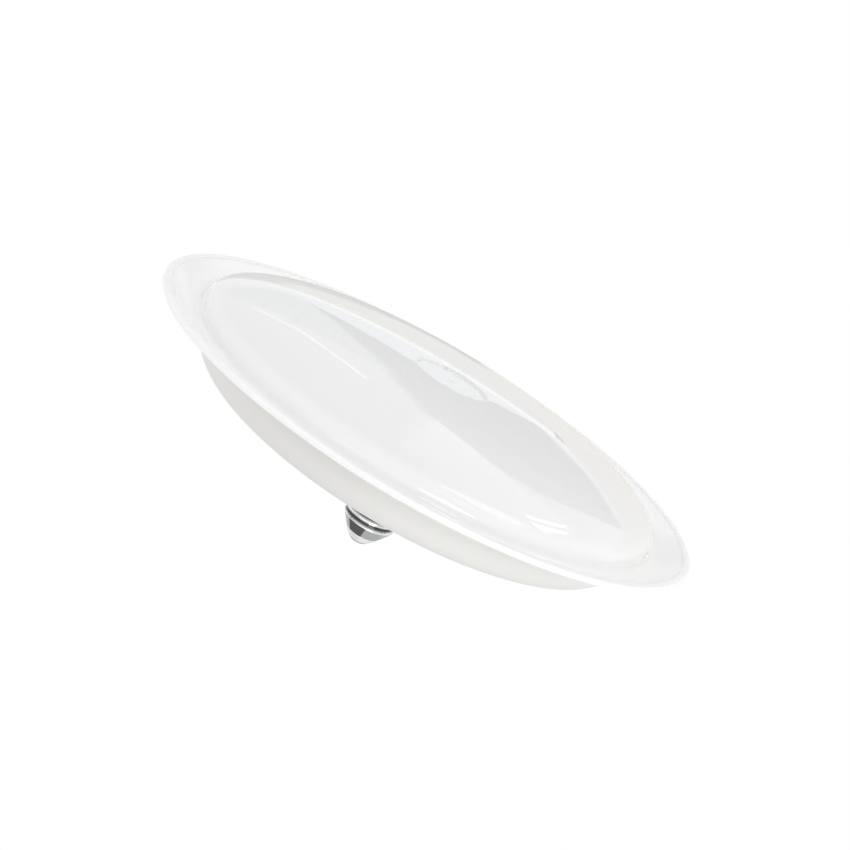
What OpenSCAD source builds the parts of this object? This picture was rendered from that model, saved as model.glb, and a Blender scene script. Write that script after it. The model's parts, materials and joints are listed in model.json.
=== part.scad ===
// Saucer-shaped LED bulb with a screw cap, for a ceiling or pendant holder.
// It stands as it hangs, cap upwards. Z = 0 is the small flat ring round the
// recess in the middle of the dome, on which the bulb lies when it is put down.
// Every piece is placed on the lamp's axis, which is the Z axis.

/* [Whole bulb] */
// Height from the ring that it lies on to the tip of the contact
overall_h = 91; // [90:0.5:98]

/* [Brim and dome] */
// Outer diameter of the brim
brim_d = 266; // [250:1:290]
// Diameter of the dome at its foot
dome_d = 229; // [222:1:236]
// How far the dome stands proud of the brim's lip
dome_proud = 13.2; // [9:0.2:18]
// How far the gutter between dome and lip lies behind the lip
gutter_depth = 5.6; // [4:0.2:7]
// Squareness of the dome's section, from 0.5 (flat crown, tight shoulder) to 1 (ellipse)
dome_fullness = 0.6; // [0.5:0.02:0.8]
// Radius of the fillet between the dome's foot and the brim
foot_fillet = 2.6; // [1.6:0.2:3.2]
// Width of the lip round the brim
lip_w = 3.2; // [2.4:0.2:4]
// Height of the lip's outer edge
lip_h = 2.4; // [2:0.2:3]
// Wall of the dome and brim moulding
diffuser_wall = 1.6; // [1.2:0.1:2]
// Diameter of the round recess at the dome's centre
recess_d = 36.8; // [24:0.4:48]
// Depth of that recess
recess_depth = 1.2; // [0.6:0.1:1.6]
// Diameter of the moulding gate's mark in the recess
gate_d = 2.6; // [1.6:0.2:4]

/* [Housing] */
// Outer diameter of the housing's side wall
housing_d = 221; // [212:1:222]
// Wall of the housing moulding
housing_wall = 1.8; // [1.4:0.1:2.2]
// Radius of the round corner from the side wall to the back
corner_r = 15; // [10:0.5:18]
// Straight part of the side wall below the mouth flange
wall_h = 2.8; // [1.5:0.1:5]
// Thickness of the mouth flange that lies on the brim
flange_t = 1.8; // [1.4:0.1:2.4]
// Length of the tongue that locates the housing inside the dome's foot
tongue_h = 2.8; // [1.6:0.1:3]
// Slope of the outer part of the back, in degrees
outer_slope = 12; // [8:0.5:14]
// Slope of the inner part of the back, in degrees
inner_slope = 6; // [3:0.5:8]
// Diameter of the step between the two parts of the back
step_d = 140; // [132:1:150]
// Height of that step
step_h = 1.2; // [0.6:0.1:2]
// Diameter of the neck
neck_d = 33; // [32:0.5:38]
// Radius of the flare at the neck's foot
flare_r = 9; // [6:0.5:11]

/* [Cooling slots and ribs] */
// Number of slots round the neck
slot_n = 24; // [12:2:28]
// Width of a slot
slot_w = 3.4; // [2:0.2:4]
// Distance from the axis to a slot's inner end
slot_from = 41; // [38:1:46]
// Distance from the axis to a slot's outer end
slot_to = 62; // [54:1:64]
// Thickness of the gussets round the neck
gusset_t = 1.6; // [1:0.1:2.4]
// Distance that a gusset reaches out from the neck
gusset_reach = 15; // [10:0.5:18]

/* [Heat dish and LED board] */
// Thickness of the pressed aluminium dish
dish_t = 1; // [0.8:0.1:1.5]
// Depth of the dish, from its flange to its floor
dish_depth = 6.6; // [5:0.2:8]
// Distance from the inside of the housing's mouth to the dish's flat floor
dish_side = 7.7; // [6:0.1:10]
// Distance from the edge of the dish's floor to the edge of the LED board
board_margin = 17; // [14:0.5:20]
// Thickness of the LED board
board_t = 1.2; // [1:0.1:1.6]
// Diameter of the hole for the leads in the board, the dish and the sleeve
lead_hole_d = 8; // [7:0.5:9]
// Radius of the inner ring of LED packages
led_inner_r = 28; // [24:0.5:34]
// Distance from the outer ring of packages to the edge of the board
led_edge = 12; // [8:0.5:16]
// Number of packages in each ring, from the inner to the outer
led_counts = [10, 20, 30];
// Length of an LED package, along its ring
led_l = 3.5; // [2.8:0.1:5]
// Width of an LED package, across its ring
led_w = 2.8; // [2:0.1:3.5]
// Height of an LED package
led_h = 0.8; // [0.6:0.05:1.2]

/* [Screws] */
// Number of screws that hold the board to the dish
board_screw_n = 6; // [3:1:8]
// Number of screws that hold the dish to the housing
dish_screw_n = 6; // [3:1:8]
// Distance from the edge of the dish's floor to a dish screw
dish_screw_in = 9; // [7:0.5:11]
// Thread diameter of every screw
screw_d = 3; // [2.5:0.1:3.5]
// Head diameter of every screw
screw_head_d = 5.6; // [4.8:0.1:6.2]
// Head height of every screw
screw_head_h = 2; // [1.6:0.1:2.4]
// Length of a board screw below its head
board_screw_l = 5; // [4:0.5:6]
// Length of a dish screw below its head
dish_screw_l = 9; // [7:0.5:10]

/* [Screw cap] */
// Thread diameter of the cap, over its crests
cap_d = 26.4; // [26:0.1:26.5]
// Depth of the rolled thread
thread_depth = 1; // [0.8:0.05:1.1]
// Pitch of the thread, seven turns to the inch
thread_pitch = 3.629; // [3.5:0.001:3.7]
// Wall of the rolled shell
shell_t = 0.4; // [0.3:0.05:0.45]
// Length of the shell from its rim to the insulator
shell_h = 21.8; // [21:0.1:23]
// Plain skirt above the thread
skirt_h = 4.6; // [3:0.1:6]
// Length of the cone at the shell's end, from the thread's last crest
taper_h = 6.4; // [4:0.1:7.5]
// Diameter of the shell's small end
shell_end_d = 17.4; // [16:0.1:19]
// Height of the insulator's cone outside the shell
insulator_h = 4.2; // [3.6:0.1:5]
// Diameter of the centre contact
contact_d = 9.6; // [8:0.1:10]
// Thickness of the centre contact
contact_t = 1; // [0.6:0.1:1.4]
// Facets round the shell
shell_sides = 48; // [36:12:72]

/* [Driver] */
// Wall of the sleeve
sleeve_wall = 0.8; // [0.6:0.1:0.9]
// Thickness of the sleeve's floor and flange
sleeve_floor_t = 1.2; // [1:0.1:1.6]
// Diameter of the sleeve's flange
sleeve_flange_d = 54; // [50:1:60]
// Height of the wide barrel
sleeve_wide_h = 20; // [19:0.2:21]
// Height of the cone between the two barrels
sleeve_cone_h = 9; // [8:0.2:10]
// Width of the driver board in the wide barrel
driver_wide_w = 35; // [34:0.5:36]
// Thickness of the driver board
driver_t = 1.2; // [1:0.1:1.6]
// Distance from the axis to the driver board's component face
driver_offset = 4.4; // [4:0.1:4.6]
// Diameter of a lead over its insulation
lead_d = 1.3; // [1:0.1:1.5]

/* [Clearances] */
// Gap between the tongue and the dome's foot
tongue_gap = 0.3; // [0.2:0.05:0.4]
// Gap round the dish inside the tongue
dish_gap = 0.3; // [0.2:0.05:0.5]
// Gap round a screw in a plain hole
screw_gap = 0.25; // [0.15:0.05:0.4]
// Gap between a thread and the hole that it holds in
thread_gap = 0.05; // [0.02:0.01:0.1]
// Gap between the sleeve and the stub that holds it
sleeve_gap = 0.2; // [0.1:0.05:0.3]
// Gap between the stub and the shell's thread roots
stub_gap = 0.15; // [0.1:0.05:0.3]
// Gap between the driver board and the sleeve's floor and rails
rail_gap = 0.15; // [0.1:0.05:0.25]
// Gap between the wide board's corners and the sleeve's wide barrel
wide_gap = 1.3; // [0.5:0.1:2]
// Gap between the narrow board's corners and the sleeve's narrow barrel
narrow_gap = 0.3; // [0.2:0.05:0.6]
// Gap between a lead and what it passes
lead_gap = 0.3; // [0.2:0.05:0.5]
// Gap under a part that lies on the driver board
part_gap = 0.1; // [0.05:0.05:0.2]

/* [Hidden] */

$fn = 96;

// Colours
opal = "#f1f3f2";
housing_white = "#e6e5e1";
aluminium_grey = "#b9bcc0";
board_white = "#f4f4ee";
phosphor_yellow = "#f2d65c";
steel_grey = "#8f9499";
nickel = "#d5d7da";
glaze_white = "#f0f0ee";
laminate_green = "#2f6b3f";
sleeve_grey = "#cfd2cf";
ferrite_black = "#2b2b2e";
tape_yellow = "#e3c33a";
can_black = "#24252b";
film_red = "#a8332b";
disc_blue = "#2a5d9e";
chip_black = "#1d1d1f";
lead_red = "#c22a26";
lead_dark = "#222222";

// Heights of the moulding, counted from the flat ring
brim_r = brim_d / 2;
dome_r = dome_d / 2;
recess_r = recess_d / 2;
ring_w = 1.2;
ring_r = recess_r + ring_w;
foot_z = dome_proud + gutter_depth;
lip_in_r = brim_r - lip_w;
lip_step = 0.8;
lip_back_z = dome_proud + lip_h;
edge_round = 0.7;
recess_bevel = 0.9;
gate_h = 0.3;
seat_z = foot_z + diffuser_wall;
ring_sag = dome_sag(ring_r, dome_r);
dome_rise = foot_z / (1 - ring_sag);

// Heights of the housing, counted from the seat on the brim
wall_r = housing_d / 2;
flange_lap = 0.6;
flange_step = 4.6;
flange_r = max(dome_r + flange_lap, wall_r + flange_step);
flange_top = seat_z + flange_t;
corner_x = wall_r - corner_r;
corner_z = flange_top + wall_h;
tongue_r = dome_r - diffuser_wall - tongue_gap;
tongue_t = 1.8;
tongue_in_r = tongue_r - tongue_t;
wall_in_r = wall_r - housing_wall;
mouth_r = min(tongue_in_r, wall_in_r);
ledge_z = wall_in_r < tongue_in_r ? seat_z : flange_top;
step_r = step_d / 2;
step_run = 0.8;
neck_r = neck_d / 2;
flare_x = neck_r + flare_r;
flare_z = inner_back_z(flare_x) + flare_r / cos(inner_slope);
collar_z = overall_h - contact_t - insulator_h - shell_h;
collar_round = 1;
stub_r = cap_d / 2 - thread_depth - shell_t - stub_gap;
stub_t = 1.4;
stub_h = 15;
stub_z = collar_z + stub_h;

// Heights of the dish and the boards
dish_r = tongue_in_r - dish_gap;
dish_bend = 2.7;
dish_floor_r = mouth_r - dish_side;
dish_screw_at = dish_floor_r - dish_screw_in;
dish_front_z = seat_z - dish_t;
floor_front_z = dish_front_z + dish_depth;
floor_back_z = floor_front_z + dish_t;
board_front_z = floor_front_z - board_t;
board_r = dish_floor_r - board_margin;
led_outer_r = board_r - led_edge;
led_step = (led_outer_r - led_inner_r) / (len(led_counts) - 1);
board_screw_at = led_outer_r - led_step / 2;
led_pocket_h = 0.2;
led_pocket_share = 0.38;
lead_hole_r = lead_hole_d / 2;
collar_wall = 1.1;
dish_collar_h = 1.6;

// Heights of the cap
cap_r = cap_d / 2;
shell_end_r = shell_end_d / 2;
shell_end_z = collar_z + shell_h;
thread_from_z = collar_z + skirt_h;
thread_to_z = shell_end_z - taper_h;
thread_run_in = 1.2;
last_crest_angle = 270;
skirt_r = cap_r - thread_depth / 2 + 0.3;
rim_flare = 0.45;
rim_flare_h = 1.1;
contact_z = shell_end_z + insulator_h;
contact_r = contact_d / 2;
rivet_r = 1.5;
rivet_l = 3;
insulator_plug = 1.4;
insulator_bore_r = 1.8;

// Screws and their holes
screw_r = screw_d / 2;
screw_hole_r = screw_r + screw_gap;
screw_head_r = screw_head_d / 2;
screw_recess_w = 0.8;
screw_recess_d = 1.1;

// The sleeve and the driver board in it
sleeve_r = stub_r - stub_t - sleeve_gap;
sleeve_in_r = sleeve_r - sleeve_wall;
sleeve_floor_z = floor_back_z + sleeve_floor_t;
sleeve_wide_z = floor_back_z + sleeve_wide_h;
sleeve_narrow_z = sleeve_wide_z + sleeve_cone_h;
sleeve_top_z = stub_z - 0.6;
driver_z = sleeve_floor_z + rail_gap;
driver_step_z = sleeve_wide_z - 0.8;
driver_top_z = sleeve_top_z - 2.4;
driver_face = -driver_offset;
driver_back = driver_face - driver_t;
driver_mid = driver_face - driver_t / 2;
driver_narrow_w = 2 * sqrt(pow(sleeve_in_r - narrow_gap, 2) - pow(driver_back, 2));
sleeve_wide_r = norm([driver_wide_w / 2, driver_back]) + wide_gap + sleeve_wall;
rail_t = 0.8;
rail_lap = 1.2;

// Sizes of the driver's parts
core_size = [16, 5, 14];
core_leg = 4;
core_side = 2.6;
core_yoke = 2.5;
core_window_w = (core_size[0] - core_leg - 2 * core_side) / 2;
core_window_h = core_size[2] - 2 * core_yoke;
winding_gap = 0.1;
winding_w = 12;
bobbin_flange_h = 0.8;
bobbin_flange_in = [0.8, 1.2];
film_size = [7.6, 9.6, 11];
film_beside = 0.8;
film_up = 3;
can_round = 0.6;
can_groove = 0.3;
can_groove_w = 0.4;
can_groove_z = 1.6;
bulk_d = 10;
bulk_l = 16;
output_d = 8;
output_l = 16;
output_beside = 0.5;
output_up = 2;
varistor_d = 7;
varistor_t = 3.6;
varistor_edge_t = 1.2;
varistor_bevel = 1;
varistor_x = -2.8;
choke_d = 6;
choke_h = 6.6;
choke_flange_h = 1.2;
choke_waist = 0.6;
choke_x = 3.4;
disc_gap = 0.3;
fuse_d = 3.2;
fuse_l = 9;
fuse_drop = 2.4;
fuse_waist = 0.35;
fuse_end_l = 1.6;
fuse_leg_d = 0.7;
fuse_z = driver_top_z - fuse_drop;
bulk_gap = 0.6;
bulk_z = fuse_z - fuse_d / 2 - bulk_gap - bulk_l;
bridge_size = [6.4, 2.4, 8];
bridge_at = [-11, 4];
chip_size = [4, 1.5, 5];
chip_at = [4, 5];
resistor_size = [2, 0.6, 1.2];
resistor_at = [-2.4, 2];
resistor_pitch = [3, 3.4];
terminal_size = [8, 7, 3.2];
terminal_at = 6.4;
lead_pitch = 2.6;
neutral_angle = 235;

// The transformer stands on the wide part of the driver board
transformer_up = 3;
transformer_z = driver_z + transformer_up + core_size[2] / 2;
transformer_y = driver_face + part_gap + winding_w / 2;

// Points on an arc, from one angle to another
function arc(x, z, r, from, to, n = 8) =
    [for (i = [0 : n]) let (a = from + (to - from) * i / n) [x + r * cos(a), z + r * sin(a)]];

// The same points in the other order
function reversed(points) = [for (i = [len(points) - 1 : -1 : 0]) points[i]];

// Share of the dome's rise reached at a distance from the axis: a superellipse
function dome_sag(r, foot) = 1 - pow(1 - pow(r / foot, 2), dome_fullness / 2);

// The dome's section, from one distance to its foot, moved up by lift
function dome_curve(foot, from_r, lift, n = 26) =
    let (start = asin(from_r / foot))
    [for (i = [0 : n])
        let (t = start + (90 - start) * (1 - pow(1 - i / n, 1.8)))
        [foot * sin(t), dome_rise * (1 - pow(cos(t), dome_fullness) - ring_sag) + lift]];

// The gutter's section, from the dome's foot to the lip, moved up by lift
function gutter_curve(lift, n = 8) =
    let (from_r = dome_r + foot_fillet)
    [for (i = [0 : n])
        [from_r + (lip_in_r - from_r) * i / n,
         foot_z - (gutter_depth - lip_step) * (1 - cos(90 * i / n)) + lift]];

// Height of the back's outer face, outside and inside its step
function outer_back_z(r) =
    corner_z + corner_r * cos(outer_slope)
    + (corner_x + corner_r * sin(outer_slope) - r) * tan(outer_slope);
function inner_back_z(r) =
    outer_back_z(step_r) + step_h + (step_r - step_run - r) * tan(inner_slope);

// The housing's section from the side wall to the neck, moved inwards by w
function back_curve(w) = concat(
    arc(corner_x, corner_z, corner_r - w, 0, 90 - outer_slope, 10),
    [[step_r, outer_back_z(step_r) - w / cos(outer_slope)],
     [step_r - step_run, inner_back_z(step_r - step_run) - w / cos(inner_slope)]],
    arc(flare_x, flare_z, flare_r + w, 270 - inner_slope, 180, 8)
);

module revolve(points) {
    rotate_extrude()
        polygon(points);
}

// Copies of the children round the axis
module ring_of(n, turn = 0) {
    for (i = [0 : n - 1])
        rotate(i * 360 / n + turn)
            children();
}

module diffuser() {
    floor_z = recess_depth;
    front = concat(
        [[0, floor_z - gate_h], [gate_d / 2, floor_z - gate_h], [gate_d / 2, floor_z]],
        [[recess_r - recess_bevel, floor_z], [recess_r, 0]],
        [for (p = dome_curve(dome_r, ring_r, 0)) if (p[1] < foot_z - foot_fillet) p],
        arc(dome_r + foot_fillet, foot_z - foot_fillet, foot_fillet, 180, 90, 5),
        gutter_curve(0)
    );
    lip = concat(
        arc(lip_in_r + edge_round, dome_proud + edge_round, edge_round, 180, 270, 3),
        arc(brim_r - edge_round, dome_proud + edge_round, edge_round, 270, 360, 3),
        arc(brim_r - edge_round, lip_back_z - edge_round, edge_round, 0, 90, 3)
    );
    back = concat(
        reversed(gutter_curve(diffuser_wall)),
        [[dome_r - diffuser_wall, seat_z]],
        reversed([for (p = dome_curve(dome_r - diffuser_wall, ring_r + diffuser_wall, diffuser_wall))
            if (p[1] < seat_z - 0.05) p]),
        [[ring_r, floor_z + diffuser_wall], [0, floor_z + diffuser_wall]]
    );
    color(opal)
        revolve(concat(front, lip, back));
}

// The housing's outer form as one solid, with no hollow
module housing_form() {
    revolve(concat([[0, seat_z], [wall_r, seat_z]], back_curve(0), [[0, flare_z]]));
}

module housing_shell() {
    outside = concat(
        [[tongue_r, seat_z - tongue_h], [tongue_r, seat_z], [flange_r, seat_z]],
        arc(flange_r - edge_round, flange_top - edge_round, edge_round, 0, 90, 3),
        [[wall_r + 0.8, flange_top], [wall_r, flange_top + 0.8]],
        back_curve(0),
        arc(neck_r - collar_round, collar_z - collar_round, collar_round, 0, 90, 4),
        [[stub_r, collar_z], [stub_r, stub_z - 0.6], [stub_r - 0.4, stub_z]]
    );
    inside = concat(
        [[stub_r - stub_t, stub_z], [stub_r - stub_t, collar_z - housing_wall],
         [neck_r - housing_wall, collar_z - housing_wall]],
        reversed(back_curve(housing_wall)),
        [[wall_in_r, ledge_z], [tongue_in_r, ledge_z], [tongue_in_r, seat_z - tongue_h]]
    );
    revolve(concat(outside, inside));
}

// A cooling slot with round ends, along the X axis
module cooling_slot() {
    slot_r = slot_w / 2;
    cut_z = inner_back_z(slot_to) - 4;
    cut_h = 10;
    translate([slot_from + slot_r, -slot_r, cut_z])
        cube([slot_to - slot_from - slot_w, slot_w, cut_h]);
    for (x = [slot_from + slot_r, slot_to - slot_r])
        translate([x, 0, cut_z])
            cylinder(r = slot_r, h = cut_h, $fn = 24);
}

// A web between the neck and the back
module gusset() {
    sunk = housing_wall / 2;
    foot_r = neck_r + gusset_reach;
    rotate([90, 0, 0])
        translate([0, 0, -gusset_t / 2])
            linear_extrude(gusset_t)
                polygon([
                    [neck_r - sunk, flare_z + 1],
                    [neck_r - sunk, flare_z],
                    [flare_x - flare_r * 0.6, flare_z - flare_r * 0.85],
                    [flare_x, inner_back_z(flare_x) - sunk],
                    [foot_r, inner_back_z(foot_r) - sunk],
                    [foot_r, inner_back_z(foot_r) + 0.2],
                    [neck_r + 1, flare_z + 1]
                ]);
}

// Posts inside the housing that carry the dish
module dish_posts() {
    post_r = 4;
    intersection() {
        ring_of(dish_screw_n)
            translate([dish_screw_at, 0, floor_back_z])
                cylinder(r = post_r, h = outer_back_z(0) - floor_back_z, $fn = 32);
        housing_form();
    }
}

module housing() {
    lead_notch_w = 3;
    color(housing_white)
        difference() {
            union() {
                housing_shell();
                ring_of(slot_n / 2, 180 / slot_n)
                    gusset();
                dish_posts();
            }
            ring_of(slot_n)
                cooling_slot();
            ring_of(dish_screw_n)
                translate([dish_screw_at, 0, floor_back_z - 1])
                    cylinder(r = screw_r + thread_gap, h = dish_screw_l + 1, $fn = 24);
            rotate(neutral_angle)
                translate([stub_r - stub_t - 1, -lead_notch_w / 2, stub_z - 3])
                    cube([stub_t + 2, lead_notch_w, 4]);
        }
}

module heat_dish() {
    rim_in_r = mouth_r - dish_bend;
    lean = (rim_in_r - dish_floor_r) / dish_depth * dish_t;
    section = [
        [lead_hole_r, floor_front_z], [dish_floor_r, floor_front_z], [rim_in_r, dish_front_z],
        [dish_r, dish_front_z], [dish_r, seat_z], [rim_in_r + lean, seat_z],
        [dish_floor_r + lean, floor_back_z], [lead_hole_r, floor_back_z]
    ];
    color(aluminium_grey)
        difference() {
            union() {
                revolve(section);
                ring_of(board_screw_n)
                    translate([board_screw_at, 0, floor_back_z - dish_t / 2])
                        cylinder(r = screw_r + collar_wall, h = dish_collar_h + dish_t / 2, $fn = 32);
            }
            ring_of(board_screw_n)
                translate([board_screw_at, 0, floor_front_z - 1])
                    cylinder(r = screw_r + thread_gap, h = dish_t + dish_collar_h + 2, $fn = 32);
            ring_of(dish_screw_n)
                translate([dish_screw_at, 0, floor_front_z - 1])
                    cylinder(r = screw_hole_r, h = dish_t + 2, $fn = 32);
        }
}

module led_board() {
    color(board_white)
        difference() {
            translate([0, 0, board_front_z])
                cylinder(r = board_r, h = board_t);
            translate([0, 0, board_front_z - 1])
                cylinder(r = lead_hole_r, h = board_t + 2);
            ring_of(board_screw_n)
                translate([board_screw_at, 0, board_front_z - 1])
                    cylinder(r = screw_hole_r, h = board_t + 2, $fn = 32);
        }
}

// One LED package, with the round pocket that holds its phosphor
module led_package() {
    difference() {
        translate([-led_w / 2, -led_l / 2, 0])
            cube([led_w, led_l, led_h]);
        translate([0, 0, -1])
            cylinder(r = led_w * led_pocket_share, h = 1 + led_pocket_h, $fn = 24);
    }
}

module led_packages() {
    color(phosphor_yellow)
        for (k = [0 : len(led_counts) - 1])
            ring_of(led_counts[k], 180 / led_counts[k])
                translate([led_inner_r + k * led_step, 0, board_front_z - led_h])
                    led_package();
}

// A pan-head screw with a cross recess, head at Z = 0 and shank upwards
module pan_screw(length) {
    crown = screw_head_h * 0.55;
    head = concat(
        [[0, -screw_head_h], [screw_head_r * 0.5, -screw_head_h]],
        [[screw_head_r * 0.86, -screw_head_h + crown * 0.35], [screw_head_r, -screw_head_h + crown]],
        [[screw_head_r, 0], [screw_r, 0]]
    );
    shank = [[screw_r, length - screw_r * 0.6], [screw_r * 0.4, length], [0, length]];
    difference() {
        rotate_extrude($fn = 32)
            polygon(concat(head, shank));
        for (turn = [0, 90])
            rotate(turn)
                translate([-screw_head_r * 0.6, -screw_recess_w / 2, -screw_head_h - 1])
                    cube([screw_head_r * 1.2, screw_recess_w, screw_recess_d + 1]);
    }
}

module board_screws() {
    color(steel_grey)
        ring_of(board_screw_n)
            translate([board_screw_at, 0, board_front_z])
                pan_screw(board_screw_l);
}

module dish_screws() {
    color(steel_grey)
        ring_of(dish_screw_n)
            translate([dish_screw_at, 0, floor_front_z])
                pan_screw(dish_screw_l);
}

// Two-way terminal that the driver's output leads run into
module board_terminal() {
    mouth_r = lead_d / 2 + part_gap;
    color(board_white)
        translate([0, terminal_at, board_front_z - terminal_size[2]])
            difference() {
                translate([-terminal_size[0] / 2, 0, 0])
                    cube([terminal_size[0], terminal_size[1], terminal_size[2]]);
                for (x = [-lead_pitch / 2, lead_pitch / 2])
                    translate([x, -1, terminal_size[2] / 2])
                        rotate([-90, 0, 0])
                            cylinder(r = mouth_r, h = 3, $fn = 24);
            }
}

// Insulating cup behind the dish, stepped down to fit inside the cap
module driver_sleeve() {
    flange_r = sleeve_flange_d / 2;
    top = sleeve_top_z;
    section = [
        [lead_hole_r, floor_back_z], [flange_r, floor_back_z], [flange_r, sleeve_floor_z],
        [sleeve_wide_r, sleeve_floor_z], [sleeve_wide_r, sleeve_wide_z], [sleeve_r, sleeve_narrow_z],
        [sleeve_r, top], [sleeve_in_r, top], [sleeve_in_r, sleeve_narrow_z],
        [sleeve_wide_r - sleeve_wall, sleeve_wide_z], [sleeve_wide_r - sleeve_wall, sleeve_floor_z],
        [lead_hole_r, sleeve_floor_z]
    ];
    rail_from = sleeve_narrow_z;
    rail_x = driver_narrow_w / 2 - rail_lap;
    rail_w = sleeve_in_r - rail_x;
    color(sleeve_grey) {
        revolve(section);
        intersection() {
            translate([0, 0, rail_from])
                cylinder(r = sleeve_in_r + sleeve_wall / 2, h = top - rail_from);
            for (side = [-1, 1])
                for (y = [driver_face + rail_gap, driver_back - rail_gap - rail_t])
                    translate([side * (rail_x + rail_w / 2) - rail_w / 2, y, rail_from])
                        cube([rail_w, rail_t, driver_top_z - rail_from]);
        }
    }
}

// T-shaped board: the wide part stands behind the dish, the narrow part in the cap
module driver_board() {
    color(laminate_green)
        translate([0, driver_face, 0])
            rotate([90, 0, 0])
                linear_extrude(driver_t)
                    polygon([
                        [-driver_wide_w / 2, driver_z], [driver_wide_w / 2, driver_z],
                        [driver_wide_w / 2, driver_step_z], [driver_narrow_w / 2, driver_step_z],
                        [driver_narrow_w / 2, driver_top_z], [-driver_narrow_w / 2, driver_top_z],
                        [-driver_narrow_w / 2, driver_step_z], [-driver_wide_w / 2, driver_step_z]
                    ]);
}

module transformer_core() {
    color(ferrite_black)
        translate([0, transformer_y, transformer_z])
            difference() {
                cube(core_size, center = true);
                for (side = [-1, 1])
                    translate([side * (core_leg + core_window_w) / 2, 0, 0])
                        cube([core_window_w, core_size[1] + 2, core_window_h], center = true);
            }
}

// Bobbin flanges and taped winding, round the core's middle leg
module transformer_winding() {
    outer = [
        core_leg + 2 * core_window_w - 2 * winding_gap, winding_w, core_window_h - 2 * winding_gap
    ];
    bore = [core_leg + 2 * winding_gap, core_size[1] + 2 * winding_gap, core_window_h + 2];
    color(tape_yellow)
        translate([0, transformer_y, transformer_z])
            difference() {
                union() {
                    cube([outer[0] - bobbin_flange_in[0], outer[1] - bobbin_flange_in[1], outer[2]], center = true);
                    for (side = [-1, 1])
                        translate([0, 0, side * (outer[2] - bobbin_flange_h) / 2])
                            cube([outer[0], outer[1], bobbin_flange_h], center = true);
                }
                cube(bore, center = true);
            }
}

// A can capacitor with its sleeve's rolled groove, standing on Z = 0
module can_capacitor(d, l) {
    r = d / 2;
    w = can_groove_w;
    rotate_extrude($fn = 48)
        polygon(concat(
            [[0, 0], [r - w, 0], [r, w]],
            [[r, can_groove_z - w], [r - can_groove, can_groove_z], [r, can_groove_z + w]],
            arc(r - can_round, l - can_round, can_round, 0, 90, 3),
            [[0, l]]
        ));
}

module bulk_capacitor() {
    color(can_black)
        translate([0, driver_face + part_gap + bulk_d / 2, bulk_z])
            can_capacitor(bulk_d, bulk_l);
}

module output_capacitor() {
    x = core_size[0] / 2 + output_beside + output_d / 2;
    color(can_black)
        translate([x, driver_face + part_gap + output_d / 2, driver_z + output_up])
            can_capacitor(output_d, output_l);
}

module film_capacitor() {
    x = core_size[0] / 2 + film_beside;
    color(film_red)
        translate([-x - film_size[0], driver_face + part_gap, driver_z + film_up])
            cube(film_size);
}

// A disc on edge, with its coat thinned towards the rim
module varistor() {
    r = varistor_d / 2;
    half = varistor_t / 2;
    edge = varistor_edge_t / 2;
    color(disc_blue)
        translate([varistor_x, driver_face + part_gap + r, driver_step_z + r + disc_gap])
            rotate([0, 90, 0])
                rotate_extrude($fn = 32)
                    polygon([
                        [0, -half], [r - varistor_bevel, -half], [r, -edge],
                        [r, edge], [r - varistor_bevel, half], [0, half]
                    ]);
}

// A drum core with its winding between two flanges
module drum_choke() {
    r = choke_d / 2;
    waist_r = r - choke_waist;
    low = choke_flange_h;
    high = choke_h - choke_flange_h;
    color(ferrite_black)
        translate([choke_x, driver_face + part_gap, driver_step_z + r + disc_gap])
            rotate([-90, 0, 0])
                rotate_extrude($fn = 32)
                    polygon([
                        [0, 0], [r, 0], [r, low], [waist_r, low],
                        [waist_r, high], [r, high], [r, choke_h], [0, choke_h]
                    ]);
}

// An axial resistor that lies across the board, with its two legs
module fuse_resistor() {
    r = fuse_d / 2;
    leg_r = fuse_leg_d / 2;
    waist_r = r - fuse_waist;
    end = fuse_l / 2;
    neck = end - fuse_end_l;
    waist = neck - 0.6;
    color(film_red)
        translate([0, driver_face + part_gap + r, fuse_z]) {
            rotate([0, 90, 0])
                rotate_extrude($fn = 32)
                    polygon([
                        [0, -end], [r, -end], [r, -neck], [waist_r, -waist],
                        [waist_r, waist], [r, neck], [r, end], [0, end]
                    ]);
            rotate([0, 90, 0])
                cylinder(r = leg_r, h = fuse_l + 2, center = true, $fn = 16);
            for (side = [-1, 1])
                translate([side * (end + 1 - leg_r), 0, 0])
                    rotate([90, 0, 0])
                        cylinder(r = leg_r, h = r, $fn = 16);
        }
}

module bridge_rectifier() {
    color(chip_black)
        translate([bridge_at[0], driver_back - part_gap - bridge_size[1], driver_z + bridge_at[1]])
            cube(bridge_size);
}

module driver_chip() {
    color(chip_black)
        translate([chip_at[0], driver_back - part_gap - chip_size[1], driver_z + chip_at[1]])
            cube(chip_size);
}

module chip_resistors() {
    color(can_black)
        for (row = [0 : 3])
            for (column = [0 : 1])
                translate([
                    resistor_at[0] + column * resistor_pitch[0],
                    driver_back - part_gap - resistor_size[1],
                    driver_z + resistor_at[1] + row * resistor_pitch[1]
                ])
                    cube(resistor_size);
}

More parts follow.
